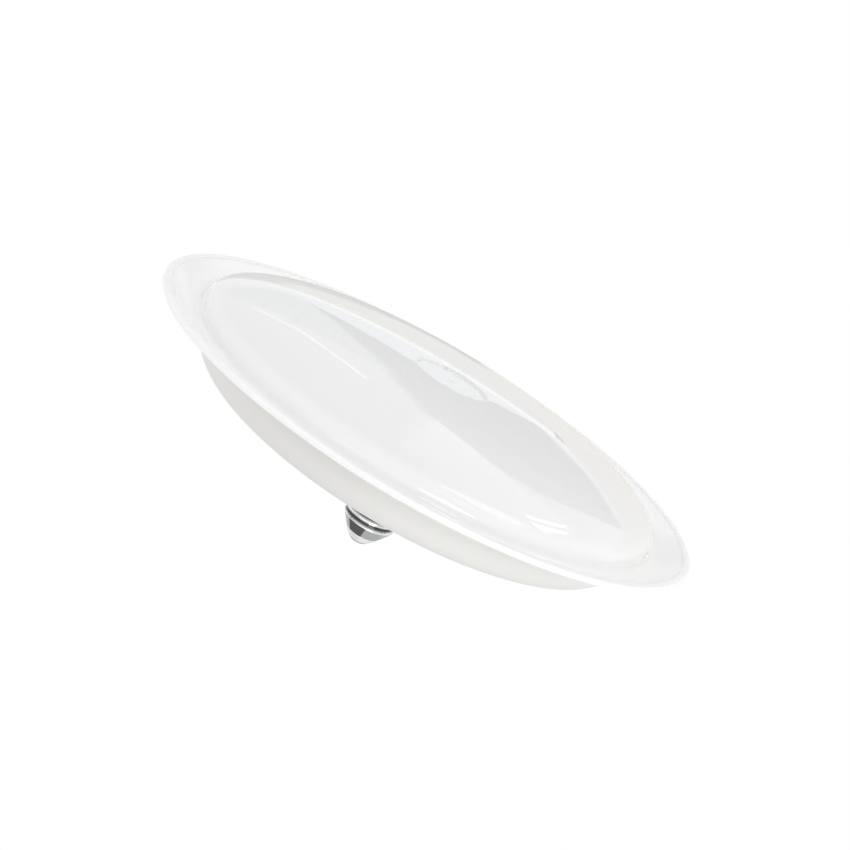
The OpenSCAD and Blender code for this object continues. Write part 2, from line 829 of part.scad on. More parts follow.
// A tube along a smooth line through the given points
module lead(points) {
    sides = 10;
    parts = 4;
    last = len(points) - 1;
    line = concat(
        [for (i = [0 : last - 1])
            let (a = points[max(i - 1, 0)], b = points[i], c = points[i + 1], d = points[min(i + 2, last)])
            for (k = [0 : parts - 1])
                let (t = k / parts)
                0.5 * (2 * b + (c - a) * t + (2 * a - 5 * b + 4 * c - d) * t * t
                       + (3 * b - a - 3 * c + d) * t * t * t)],
        [points[last]]
    );
    n = len(line);
    rings = [for (i = [0 : n - 1])
        let (along = line[min(i + 1, n - 1)] - line[max(i - 1, 0)])
        let (side = cross(along, [1, 0, 0]))
        let (u = side / norm(side))
        let (v = cross(along, u) / norm(along))
        for (k = [0 : sides - 1])
            line[i] + lead_d / 2 * (cos(360 * k / sides) * u + sin(360 * k / sides) * v)];
    walls = [for (i = [0 : n - 2])
        for (k = [0 : sides - 1])
            let (a = i * sides + k, b = i * sides + (k + 1) % sides)
            each [[a, b, b + sides], [a, b + sides, a + sides]]];
    ends = [[for (k = [sides - 1 : -1 : 0]) k], [for (k = [0 : sides - 1]) (n - 1) * sides + k]];
    polyhedron(rings, concat(walls, ends), convexity = 4);
}

// From the fuse to the centre contact's rivet
module live_lead() {
    color(lead_red)
        lead([
            [4.2, driver_mid, driver_top_z + lead_gap],
            [4.2, driver_mid, driver_top_z + 3],
            [1.6, -1.6, shell_end_z - 3.4],
            [0, 0, shell_end_z - 0.8],
            [0, 0, contact_z - rivet_l - part_gap]
        ]);
}

// Over the stub's notch to the shell, where it is soldered
module neutral_lead() {
    c = cos(neutral_angle);
    s = sin(neutral_angle);
    over_z = sleeve_top_z + lead_gap + lead_d / 2;
    out_r = shell_inner_r(over_z, neutral_angle) - part_gap;
    color(lead_dark)
        lead([
            [-4.6, driver_mid, driver_top_z + lead_gap],
            [-4.7, driver_mid, driver_top_z + 2.2],
            [7.6 * c, 7.6 * s, over_z],
            [(out_r - 2) * c, (out_r - 2) * s, over_z],
            [out_r * c, out_r * s, over_z]
        ]);
}

// From the driver board through the holes into the terminal
module output_lead(x) {
    mouth_z = board_front_z - terminal_size[2] / 2;
    along_y = driver_face + lead_gap + lead_d / 2;
    lead([
        [x, along_y, driver_z + 2.4],
        [x, along_y, driver_z + 0.8],
        [x, -1.2, floor_back_z],
        [x, 0.4, board_front_z - 0.6],
        [x, 3.4, mouth_z],
        [x, terminal_at + 1, mouth_z]
    ]);
}

module positive_lead() {
    color(lead_red)
        output_lead(lead_pitch / 2);
}

module negative_lead() {
    color(lead_dark)
        output_lead(-lead_pitch / 2);
}

// A smooth rise from 0 to 1
function ramp(x) = let (t = min(max(x, 0), 1)) t * t * (3 - 2 * t);

// The rolled shell's radius outside the metal, at a height and an angle: a flared rim, a plain
// skirt, the thread, and a cone that cuts the thread off at its last crest
function shell_outer_r(z, angle) =
    let (flare = rim_flare * ramp(1 - (z - collar_z) / rim_flare_h))
    let (turn = 360 * (z - thread_to_z) / thread_pitch - angle + last_crest_angle)
    let (rolled = cap_r - thread_depth / 2 * (1 - cos(turn)))
    let (share = ramp((z - thread_from_z) / thread_run_in))
    let (cone = shell_end_r + (cap_r - shell_end_r) * (shell_end_z - z) / taper_h)
    min(skirt_r + flare + share * (rolled - skirt_r), cone);

// The least radius inside the shell behind the end of a lead
function shell_inner_r(z, angle) =
    min([for (side = [-1 : 1]) shell_outer_r(z + side * lead_d / 2, angle)]) - shell_t;

module screw_shell() {
    rows_in_turn = 8;
    run_out_rows = 4;
    thread_rows = ceil((thread_to_z - thread_from_z) / thread_pitch * rows_in_turn);
    run_out_z = thread_to_z + thread_pitch * run_out_rows / rows_in_turn;
    heights = concat(
        [for (i = [0 : 2]) collar_z + rim_flare_h * i / 2],
        [thread_from_z - 0.4],
        [for (i = [0 : thread_rows]) thread_from_z + (thread_to_z - thread_from_z) * i / thread_rows],
        [for (i = [1 : run_out_rows]) thread_to_z + thread_pitch * i / rows_in_turn],
        [for (i = [1 : 2]) run_out_z + (shell_end_z - run_out_z) * i / 2]
    );
    rows = len(heights);
    points = [for (wall = [0, shell_t]) for (z = heights) for (k = [0 : shell_sides - 1])
        let (a = 360 * k / shell_sides, r = shell_outer_r(z, a) - wall)
        [r * cos(a), r * sin(a), z]];
    inner = rows * shell_sides;
    function next(k) = (k + 1) % shell_sides;
    faces = concat(
        [for (i = [0 : rows - 2]) for (k = [0 : shell_sides - 1])
            let (a = i * shell_sides + k, b = i * shell_sides + next(k))
            each [[a, a + shell_sides, b + shell_sides], [a, b + shell_sides, b]]],
        [for (i = [0 : rows - 2]) for (k = [0 : shell_sides - 1])
            let (a = inner + i * shell_sides + k, b = inner + i * shell_sides + next(k))
            each [[a, b + shell_sides, a + shell_sides], [a, b, b + shell_sides]]],
        [for (k = [0 : shell_sides - 1])
            each [[k, next(k), inner + next(k)], [k, inner + next(k), inner + k]]],
        [for (k = [0 : shell_sides - 1])
            let (e = (rows - 1) * shell_sides)
            each [[e + k, inner + e + next(k), e + next(k)], [e + k, inner + e + k, inner + e + next(k)]]]
    );
    color(nickel)
        polyhedron(points, faces, convexity = 8);
}

module shell_insulator() {
    plug_r = shell_end_r - shell_t - part_gap;
    section = [
        [insulator_bore_r, shell_end_z - insulator_plug], [plug_r - 0.3, shell_end_z - insulator_plug],
        [plug_r, shell_end_z - insulator_plug + 0.3], [plug_r, shell_end_z],
        [shell_end_r - 0.1, shell_end_z], [shell_end_r - 0.1, shell_end_z + 0.4],
        [contact_r + 0.4, contact_z], [insulator_bore_r, contact_z]
    ];
    color(glaze_white)
        revolve(section);
}

module centre_contact() {
    flat_r = contact_r * 0.6;
    section = [
        [0, contact_z - rivet_l], [rivet_r, contact_z - rivet_l], [rivet_r, contact_z],
        [contact_r, contact_z], [contact_r, contact_z + contact_t * 0.4],
        [contact_r * 0.86, contact_z + contact_t * 0.85], [flat_r, contact_z + contact_t],
        [0, contact_z + contact_t]
    ];
    color(steel_grey)
        revolve(section);
}

diffuser();
housing();
heat_dish();
led_board();
led_packages();
board_screws();
dish_screws();
board_terminal();
driver_sleeve();
driver_board();
transformer_core();
transformer_winding();
bulk_capacitor();
output_capacitor();
film_capacitor();
varistor();
drum_choke();
fuse_resistor();
bridge_rectifier();
driver_chip();
chip_resistors();
live_lead();
neutral_lead();
positive_lead();
negative_lead();
screw_shell();
shell_insulator();
centre_contact();
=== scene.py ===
# Looks of the saucer bulb: fine meshes for the pieces whose curves show, and a
# finish for every piece. Lengths are in millimetres until a mesh is written.
import json
import math

import bmesh
import bpy
from mathutils import Matrix, Vector


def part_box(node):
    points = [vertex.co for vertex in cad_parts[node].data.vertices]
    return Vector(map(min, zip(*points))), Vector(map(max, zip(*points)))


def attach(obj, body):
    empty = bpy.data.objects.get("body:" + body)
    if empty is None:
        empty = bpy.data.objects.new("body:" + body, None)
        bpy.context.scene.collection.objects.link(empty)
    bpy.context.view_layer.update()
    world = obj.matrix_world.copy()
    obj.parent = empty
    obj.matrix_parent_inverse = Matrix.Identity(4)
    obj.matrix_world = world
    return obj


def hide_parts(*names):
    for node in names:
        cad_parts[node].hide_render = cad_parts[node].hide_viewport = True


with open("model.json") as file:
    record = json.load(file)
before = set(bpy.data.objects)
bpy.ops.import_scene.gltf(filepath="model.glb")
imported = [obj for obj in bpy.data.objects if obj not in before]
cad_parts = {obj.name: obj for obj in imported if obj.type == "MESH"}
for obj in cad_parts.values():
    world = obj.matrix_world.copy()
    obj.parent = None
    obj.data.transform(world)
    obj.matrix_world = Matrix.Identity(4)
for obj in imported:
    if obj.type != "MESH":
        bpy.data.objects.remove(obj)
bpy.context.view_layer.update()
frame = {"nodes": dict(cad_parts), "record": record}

MM = 0.001


def corners(node):
    """Lowest and highest corner of a CAD node, in millimetres."""
    low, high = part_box(node)
    return low / MM, high / MM


# The diffuser, from its node's box and the sizes of the moulding
BRIM_R = corners("diffuser")[1].x
SEAT_Z = corners("diffuser")[1].z
DIFFUSER_WALL = 1.6
FOOT_Z = SEAT_Z - DIFFUSER_WALL
BRIM_W = 18.5
DOME_R = BRIM_R - BRIM_W
DOME_FULLNESS = 0.6
GUTTER_DEPTH = 5.6
FRONT_Z = FOOT_Z - GUTTER_DEPTH
FOOT_FILLET = 2.6
LIP_W = 3.2
LIP_H = 2.4
LIP_STEP = 0.8
LIP_IN_R = BRIM_R - LIP_W
LIP_BACK_Z = FRONT_Z + LIP_H
EDGE_ROUND = 0.7
RECESS_R = 18.4
RECESS_DEPTH = 1.2
RECESS_BEVEL = 0.9
RING_W = 1.2
RING_R = RECESS_R + RING_W
GATE_R = 1.3
GATE_H = 0.3
DIFFUSER_SIDES = 288
# Over 1, the points of the dome's section crowd together towards its foot
DOME_CROWDING = 1.8

# The housing
HOUSING_WALL = 1.8
COLLAR_Z = corners("screw_shell")[0].z
STUB_Z = corners("housing")[1].z
TONGUE_Z = corners("housing")[0].z
FLANGE_R = corners("housing")[1].x
FLANGE_STEP = 4.6
FLANGE_T = 1.8
WALL_R = FLANGE_R - FLANGE_STEP
WALL_H = 2.8
WALL_FILLET = 0.8
FLANGE_TOP = SEAT_Z + FLANGE_T
TONGUE_GAP = 0.3
TONGUE_R = DOME_R - DIFFUSER_WALL - TONGUE_GAP
TONGUE_T = 1.8
CORNER_R = 15.0
CORNER_X = WALL_R - CORNER_R
CORNER_Z = FLANGE_TOP + WALL_H
OUTER_TILT = 12
INNER_TILT = 6
OUTER_SLOPE = math.radians(OUTER_TILT)
INNER_SLOPE = math.radians(INNER_TILT)
STEP_R = 70.0
STEP_H = 1.2
STEP_RUN = 0.8
NECK_R = 16.5
FLARE_R = 9.0
FLARE_X = NECK_R + FLARE_R
COLLAR_ROUND = 1.0
STUB_R = 11.65
STUB_T = 1.4
STUB_LEAD_W = 0.4
STUB_LEAD_H = 0.6
SLOT_COUNT = 24
SLOT_W = 3.4
SLOT_FROM = 41.0
SLOT_TO = 62.0
SLOT_TOOL_DEPTH = 9.0
SLOT_EASE = 0.35
GUSSET_T = 1.6
GUSSET_REACH = 15.0
GUSSET_ROUND = 0.25
GUSSET_TOE_H = 0.2
GUSSET_HEAD = 1.0
POST_R = 4.0
POST_AT = 92.0
POST_COUNT = 6
POST_SIDES = 32
POST_TOP_GAP = 0.6
DISH_DEPTH = 6.6
DISH_T = 1.0
DISH_BACK_Z = corners("heat_dish")[0].z + (DISH_DEPTH + DISH_T)
HOUSING_SIDES = 240

# The screw cap
CAP_R = 13.2
THREAD_DEPTH = 1.0
THREAD_PITCH = 3.629
SHELL_T = 0.4
SKIRT_H = 4.6
SKIRT_PROUD = 0.3
SHELL_END_Z = corners("screw_shell")[1].z
SHELL_END_R = 8.7
TAPER_H = 6.4
THREAD_FROM_Z = COLLAR_Z + SKIRT_H
THREAD_TO_Z = SHELL_END_Z - TAPER_H
LAST_CREST_ANGLE = math.radians(270)
SKIRT_R = CAP_R - THREAD_DEPTH / 2 + SKIRT_PROUD
CONTACT_Z = corners("shell_insulator")[1].z
CONTACT_R = corners("centre_contact")[1].x
TIP_Z = corners("centre_contact")[1].z
CONTACT_RIM_H = 0.4
CONTACT_BULGE_H = 0.85
RIVET_R = 1.5
RIVET_L = 3.0
INSULATOR_BORE_R = 1.8
INSULATOR_PLUG_H = 1.4
INSULATOR_SIDES = 160
CONTACT_SIDES = 128

# The row of punch marks round the skirt: the radius for measures along it, its height over the
# rim, and how quickly a mark fades away from its middle
PUNCH_ARC_R = 13.0
PUNCH_AT_H = 2.7
PUNCH_TIGHTNESS = 2.2
# How softly the thread goes over into the cone that cuts it off
CONE_BLEND = 0.12

# Edges that turn less than this are shaded smooth. The shell's thread needs a wider angle.
SMOOTH_ANGLE = math.radians(32)
SHELL_SMOOTH_ANGLE = math.radians(50)


def arc(x, z, radius, start, end, count=12):
    """Points on an arc, angles in degrees."""
    steps = [math.radians(start + (end - start) * i / count) for i in range(count + 1)]
    return [(x + radius * math.cos(a), z + radius * math.sin(a)) for a in steps]


def softened(points, radius, count=4):
    """The points with each corner that turns sharply rounded by a small arc."""
    made = [points[0]]
    for before, here, after in zip(points, points[1:], points[2:]):
        a = Vector(before) - Vector(here)
        b = Vector(after) - Vector(here)
        turn = math.pi - a.angle(b)
        reach = min(radius * math.tan(turn / 2), 0.45 * a.length, 0.45 * b.length)
        if turn < SMOOTH_ANGLE / 2:
            made.append(here)
            continue
        p = Vector(here) + a.normalized() * reach
        q = Vector(here) + b.normalized() * reach
        for i in range(count + 1):
            t = i / count
            spot = p * (1 - t) ** 2 + Vector(here) * 2 * t * (1 - t) + q * t * t
            made.append(tuple(spot))
    return made + [points[-1]]


def held(points, hold=0.25):
    """The points with one more near each end of a long stretch, so that flats look flat."""
    made = []
    for here, after in zip(points, points[1:]):
        a, b = Vector(here), Vector(after)
        made.append(here)
        if (b - a).length > 4 * hold:
            step = (b - a).normalized() * hold
            made += [tuple(a + step), tuple(b - step)]
    return made + [points[-1]]


def finish_mesh(name, bm, material=None):
    """Writes a closed mesh in metres as an object at the origin, faces outwards."""
    bmesh.ops.remove_doubles(bm, verts=bm.verts, dist=1e-5)
    faces_inwards = bm.calc_volume(signed=True) < 0
    if faces_inwards:
        bmesh.ops.reverse_faces(bm, faces=bm.faces)
    bmesh.ops.scale(bm, vec=(MM, MM, MM), verts=bm.verts)
    mesh = bpy.data.meshes.new(name)
    bm.to_mesh(mesh)
    bm.free()
    shade(mesh)
    if material:
        mesh.materials.append(material)
    return placed(bpy.data.objects.new(name, mesh))


def shade(mesh, sharp=SMOOTH_ANGLE):
    """Shades a mesh smooth but for the edges that turn more than an angle."""
    mesh.shade_smooth()
    mesh.set_sharp_from_angle(angle=sharp)


def placed(made):
    """Puts a new object into the scene."""
    bpy.context.scene.collection.objects.link(made)
    return made


def revolved(name, section, material, sides):
    """A solid turned from a section of (radius, height) points, closed on itself or on the axis."""
    bm = bmesh.new()
    on_axis = section[0][0] < 1e-6 and section[-1][0] < 1e-6
    rings = []
    for r, z in section:
        if r < 1e-6:
            rings.append([bm.verts.new((0, 0, z))] * sides)
            continue
        turns = [2 * math.pi * k / sides for k in range(sides)]
        rings.append([bm.verts.new((r * math.cos(a), r * math.sin(a), z)) for a in turns])
    pairs = list(zip(rings, rings[1:]))
    if not on_axis:
        pairs.append((rings[-1], rings[0]))
    for low, high in pairs:
        for k in range(sides):
            n = (k + 1) % sides
            loop = [low[k], low[n], high[n], high[k]]
            unique = [v for i, v in enumerate(loop) if v is not loop[i - 1]]
            if len(unique) > 2:
                bm.faces.new(unique)
    return finish_mesh(name, bm, material)


def dome_height(r):
    """Height of the dome's front at a distance from the axis: a superellipse."""
    def sag(x):
        return 1 - (1 - (x / DOME_R) ** 2) ** (DOME_FULLNESS / 2)
    return FOOT_Z * (sag(r) - sag(RING_R)) / (1 - sag(RING_R))


def dome_points(foot, start, lift, top, count=90):
    """The dome's section from one distance from the axis to just under a height."""
    first = math.asin(start / foot)
    made = []
    for i in range(count + 1):
        t = first + (math.pi / 2 - first) * (1 - (1 - i / count) ** DOME_CROWDING)
        z = dome_height(min(DOME_R * math.sin(t), DOME_R)) + lift
        if z < top:
            made.append((foot * math.sin(t), z))
    return made


def gutter_points(lift, count=24):
    """The gutter's section from the dome's foot to the lip."""
    start = DOME_R + FOOT_FILLET
    drop = GUTTER_DEPTH - LIP_STEP
    made = []
    for i in range(count + 1):
        fall = drop * (1 - math.cos(math.pi / 2 * i / count))
        made.append((start + (LIP_IN_R - start) * i / count, FOOT_Z - fall + lift))
    return made


def diffuser_section():
    floor = RECESS_DEPTH
    inside_r = DOME_R - DIFFUSER_WALL
    first_of_dome = dome_points(DOME_R, RING_R, 0, 1)[1]
    recess = softened([
        (0, floor - GATE_H), (GATE_R, floor - GATE_H), (GATE_R, floor),
        (RECESS_R - RECESS_BEVEL, floor), (RECESS_R, 0), (RING_R, 0), first_of_dome,
    ], radius=0.35, count=6)
    dome = dome_points(DOME_R, RING_R, 0, FOOT_Z - FOOT_FILLET)[1:]
    fillet = arc(DOME_R + FOOT_FILLET, FOOT_Z - FOOT_FILLET, FOOT_FILLET, 180, 90)
    lip = (
        arc(LIP_IN_R + EDGE_ROUND, FRONT_Z + EDGE_ROUND, EDGE_ROUND, 180, 270, 6)
        + arc(BRIM_R - EDGE_ROUND, FRONT_Z + EDGE_ROUND, EDGE_ROUND, 270, 360, 6)
        + arc(BRIM_R - EDGE_ROUND, LIP_BACK_Z - EDGE_ROUND, EDGE_ROUND, 0, 90, 6)
    )
    back = (
        gutter_points(DIFFUSER_WALL)[::-1]
        + [(inside_r, SEAT_Z)]
        + dome_points(inside_r, RING_R + DIFFUSER_WALL, DIFFUSER_WALL, SEAT_Z - 0.05, 40)[::-1]
        + [(RING_R, floor + DIFFUSER_WALL), (0, floor + DIFFUSER_WALL)]
    )
    return held(recess[:-1] + dome + fillet + gutter_points(0)[1:] + lip + back)


def outer_back_z(r):
    edge = CORNER_X + CORNER_R * math.sin(OUTER_SLOPE)
    return CORNER_Z + CORNER_R * math.cos(OUTER_SLOPE) + (edge - r) * math.tan(OUTER_SLOPE)


def inner_back_z(r):
    return outer_back_z(STEP_R) + STEP_H + (STEP_R - STEP_RUN - r) * math.tan(INNER_SLOPE)


FLARE_Z = inner_back_z(FLARE_X) + FLARE_R / math.cos(INNER_SLOPE)


def back_points(inset, count):
    """The housing's section from the side wall to the neck, moved inwards by inset."""
    inner_r = STEP_R - STEP_RUN
    return (
        arc(CORNER_X, CORNER_Z, CORNER_R - inset, 0, 90 - OUTER_TILT, count)
        + [(STEP_R, outer_back_z(STEP_R) - inset / math.cos(OUTER_SLOPE))]
        + [(inner_r, inner_back_z(inner_r) - inset / math.cos(INNER_SLOPE))]
        + arc(FLARE_X, FLARE_Z, FLARE_R + inset, 270 - INNER_TILT, 180, count)
    )


def housing_section():
    outside = (
        [(TONGUE_R, TONGUE_Z), (TONGUE_R, SEAT_Z), (FLANGE_R, SEAT_Z)]
        + arc(FLANGE_R - EDGE_ROUND, FLANGE_TOP - EDGE_ROUND, EDGE_ROUND, 0, 90, 6)
        + arc(WALL_R + WALL_FILLET, FLANGE_TOP + WALL_FILLET, WALL_FILLET, 270, 180, 6)
        + back_points(0, 28)
        + arc(NECK_R - COLLAR_ROUND, COLLAR_Z - COLLAR_ROUND, COLLAR_ROUND, 0, 90, 8)
        + [(STUB_R, COLLAR_Z), (STUB_R, STUB_Z - STUB_LEAD_H), (STUB_R - STUB_LEAD_W, STUB_Z)]
    )
    inside = (
        [(STUB_R - STUB_T, STUB_Z), (STUB_R - STUB_T, COLLAR_Z - HOUSING_WALL)]
        + [(NECK_R - HOUSING_WALL, COLLAR_Z - HOUSING_WALL)]
        + back_points(HOUSING_WALL, 14)[::-1]
        + [(WALL_R - HOUSING_WALL, SEAT_Z)]
        + [(TONGUE_R - TONGUE_T, SEAT_Z), (TONGUE_R - TONGUE_T, TONGUE_Z)]
    )
    return held(softened(outside, radius=0.25) + inside, hold=0.4)


def stacked(levels):
    """A closed mesh through outlines of (x, y) points, each with its height, from the lowest up."""
    bm = bmesh.new()
    rings = [[bm.verts.new((x, y, z)) for x, y in outline] for z, outline in levels]
    bm.faces.new(rings[0][::-1])
    bm.faces.new(rings[-1])
    for low, high in zip(rings, rings[1:]):
        for k in range(len(low)):
            n = (k + 1) % len(low)
            bm.faces.new([low[k], low[n], high[n], high[k]])
    return bm


def slot_outline(grow, count=10):
    half = (SLOT_TO - SLOT_FROM - SLOT_W) / 2
    radius = SLOT_W / 2 + grow
    return arc(half, 0, radius, -90, 90, count) + arc(-half, 0, radius, 90, 270, count)


def slot_cutter():
    """A tool for one cooling slot at angle 0, flared where it leaves the back to ease the edge."""
    over = 1.5
    levels = [(-SLOT_TOOL_DEPTH, 0.0), (-SLOT_EASE, 0.0), (over, SLOT_EASE + over)]
    bm = stacked([(z, slot_outline(grow)) for z, grow in levels])
    middle = (SLOT_FROM + SLOT_TO) / 2
    place = Matrix.Translation((middle, 0, inner_back_z(middle)))
    place = place @ Matrix.Rotation(INNER_SLOPE, 4, "Y")
    bmesh.ops.transform(bm, matrix=place, verts=bm.verts)
    return finish_mesh("slot_tool", bm)


def gusset_web():
    """One web between the neck and the back, at angle 0."""
    sunk = HOUSING_WALL / 2
    foot = NECK_R + GUSSET_REACH
    outline = [
        (NECK_R - sunk, FLARE_Z + GUSSET_HEAD), (NECK_R - sunk, FLARE_Z),
        (FLARE_X - FLARE_R * 0.6, FLARE_Z - FLARE_R * 0.85),
        (FLARE_X, inner_back_z(FLARE_X) - sunk), (foot, inner_back_z(foot) - sunk),
        (foot, inner_back_z(foot) + GUSSET_TOE_H),
        (NECK_R + GUSSET_HEAD, FLARE_Z + GUSSET_HEAD),
    ]
    bm = stacked([(-GUSSET_T / 2, outline), (GUSSET_T / 2, outline)])
    bmesh.ops.bevel(
        bm, geom=bm.edges[:], offset=GUSSET_ROUND, segments=3, affect="EDGES", profile=0.5)
    bmesh.ops.transform(bm, matrix=Matrix.Rotation(math.pi / 2, 4, "X"), verts=bm.verts)
    return finish_mesh("gusset_web", bm)


def dish_post():
    """One post inside the housing that carries the dish, at angle 0."""
    top = outer_back_z(POST_AT + POST_R) - POST_TOP_GAP
    outline = [(POST_AT + x, y) for x, y in arc(0, 0, POST_R, 0, 360, POST_SIDES)[:-1]]
    bm = stacked([(DISH_BACK_Z, outline), (top, outline)])
    return finish_mesh("dish_post", bm)


# Nodes

def put(tree, kind, inputs=None, **settings):
    """Adds a node. Its inputs go by name or number, each a value or another node's socket."""
    made = tree.nodes.new(kind)
    for key, value in settings.items():
        setattr(made, key, value)
    for key, value in (inputs or {}).items():
        if isinstance(value, bpy.types.NodeSocket):
            tree.links.new(value, made.inputs[key])
        else:
            made.inputs[key].default_value = value
    return made


def maths(tree, operation, a, b=0.0, c=0.0):
    """The result of one calculation, for materials and geometry alike."""
    return put(tree, "ShaderNodeMath", {0: a, 1: b, 2: c}, operation=operation).outputs[0]


def remap(tree, value, start, end, to_start, to_end, smooth=False):
    """A value carried from one range to another, and held at its ends."""
    kind = "SMOOTHSTEP" if smooth else "LINEAR"
    made = put(tree, "ShaderNodeMapRange", {
        "Value": value, "From Min": start, "From Max": end, "To Min": to_start, "To Max": to_end,
    }, interpolation_type=kind, clamp=True)
    return made.outputs["Result"]


def radius_of(tree, part):
    """Distance from the axis, from a position's separated parts."""
    along_x = maths(tree, "MULTIPLY", part["X"], part["X"])
    along_y = maths(tree, "MULTIPLY", part["Y"], part["Y"])
    return maths(tree, "SQRT", maths(tree, "ADD", along_x, along_y))


def sockets(tree, inputs, outputs):
    """Named inputs and outputs for a node group, each with its kind and its default."""
    for name, kind, value in inputs:
        made = tree.interface.new_socket(name=name, in_out="INPUT", socket_type=kind)
        if value is not None:
            made.default_value = value
    for name, kind in outputs:
        tree.interface.new_socket(name=name, in_out="OUTPUT", socket_type=kind)
    return tree.nodes.new("NodeGroupInput").outputs, tree.nodes.new("NodeGroupOutput").inputs


def ring_tree():
    """Copies of a piece round the axis, at equal angles from a first one."""
    tree = bpy.data.node_groups.new("ring_of_copies", "GeometryNodeTree")
    given, result = sockets(tree, [
        ("Piece", "NodeSocketGeometry", None),
        ("Count", "NodeSocketInt", 6),
        ("First Angle", "NodeSocketFloat", 0.0),
        ("Finish", "NodeSocketMaterial", None),
    ], [("Ring", "NodeSocketGeometry")])
    centres = put(tree, "GeometryNodePoints", {"Count": given["Count"]})
    index = put(tree, "GeometryNodeInputIndex").outputs[0]
    share = maths(tree, "DIVIDE", maths(tree, "MULTIPLY", index, 2 * math.pi), given["Count"])
    angle = maths(tree, "ADD", share, given["First Angle"])
    turn = put(tree, "ShaderNodeCombineXYZ", {"Z": angle})
    copies = put(tree, "GeometryNodeInstanceOnPoints", {
        "Points": centres.outputs[0], "Instance": given["Piece"], "Rotation": turn.outputs[0],
    })
    real = put(tree, "GeometryNodeRealizeInstances", {0: copies.outputs[0]})
    dressed = put(tree, "GeometryNodeSetMaterial", {
        "Geometry": real.outputs[0], "Material": given["Finish"],
    })
    tree.links.new(dressed.outputs[0], result["Ring"])
    return tree


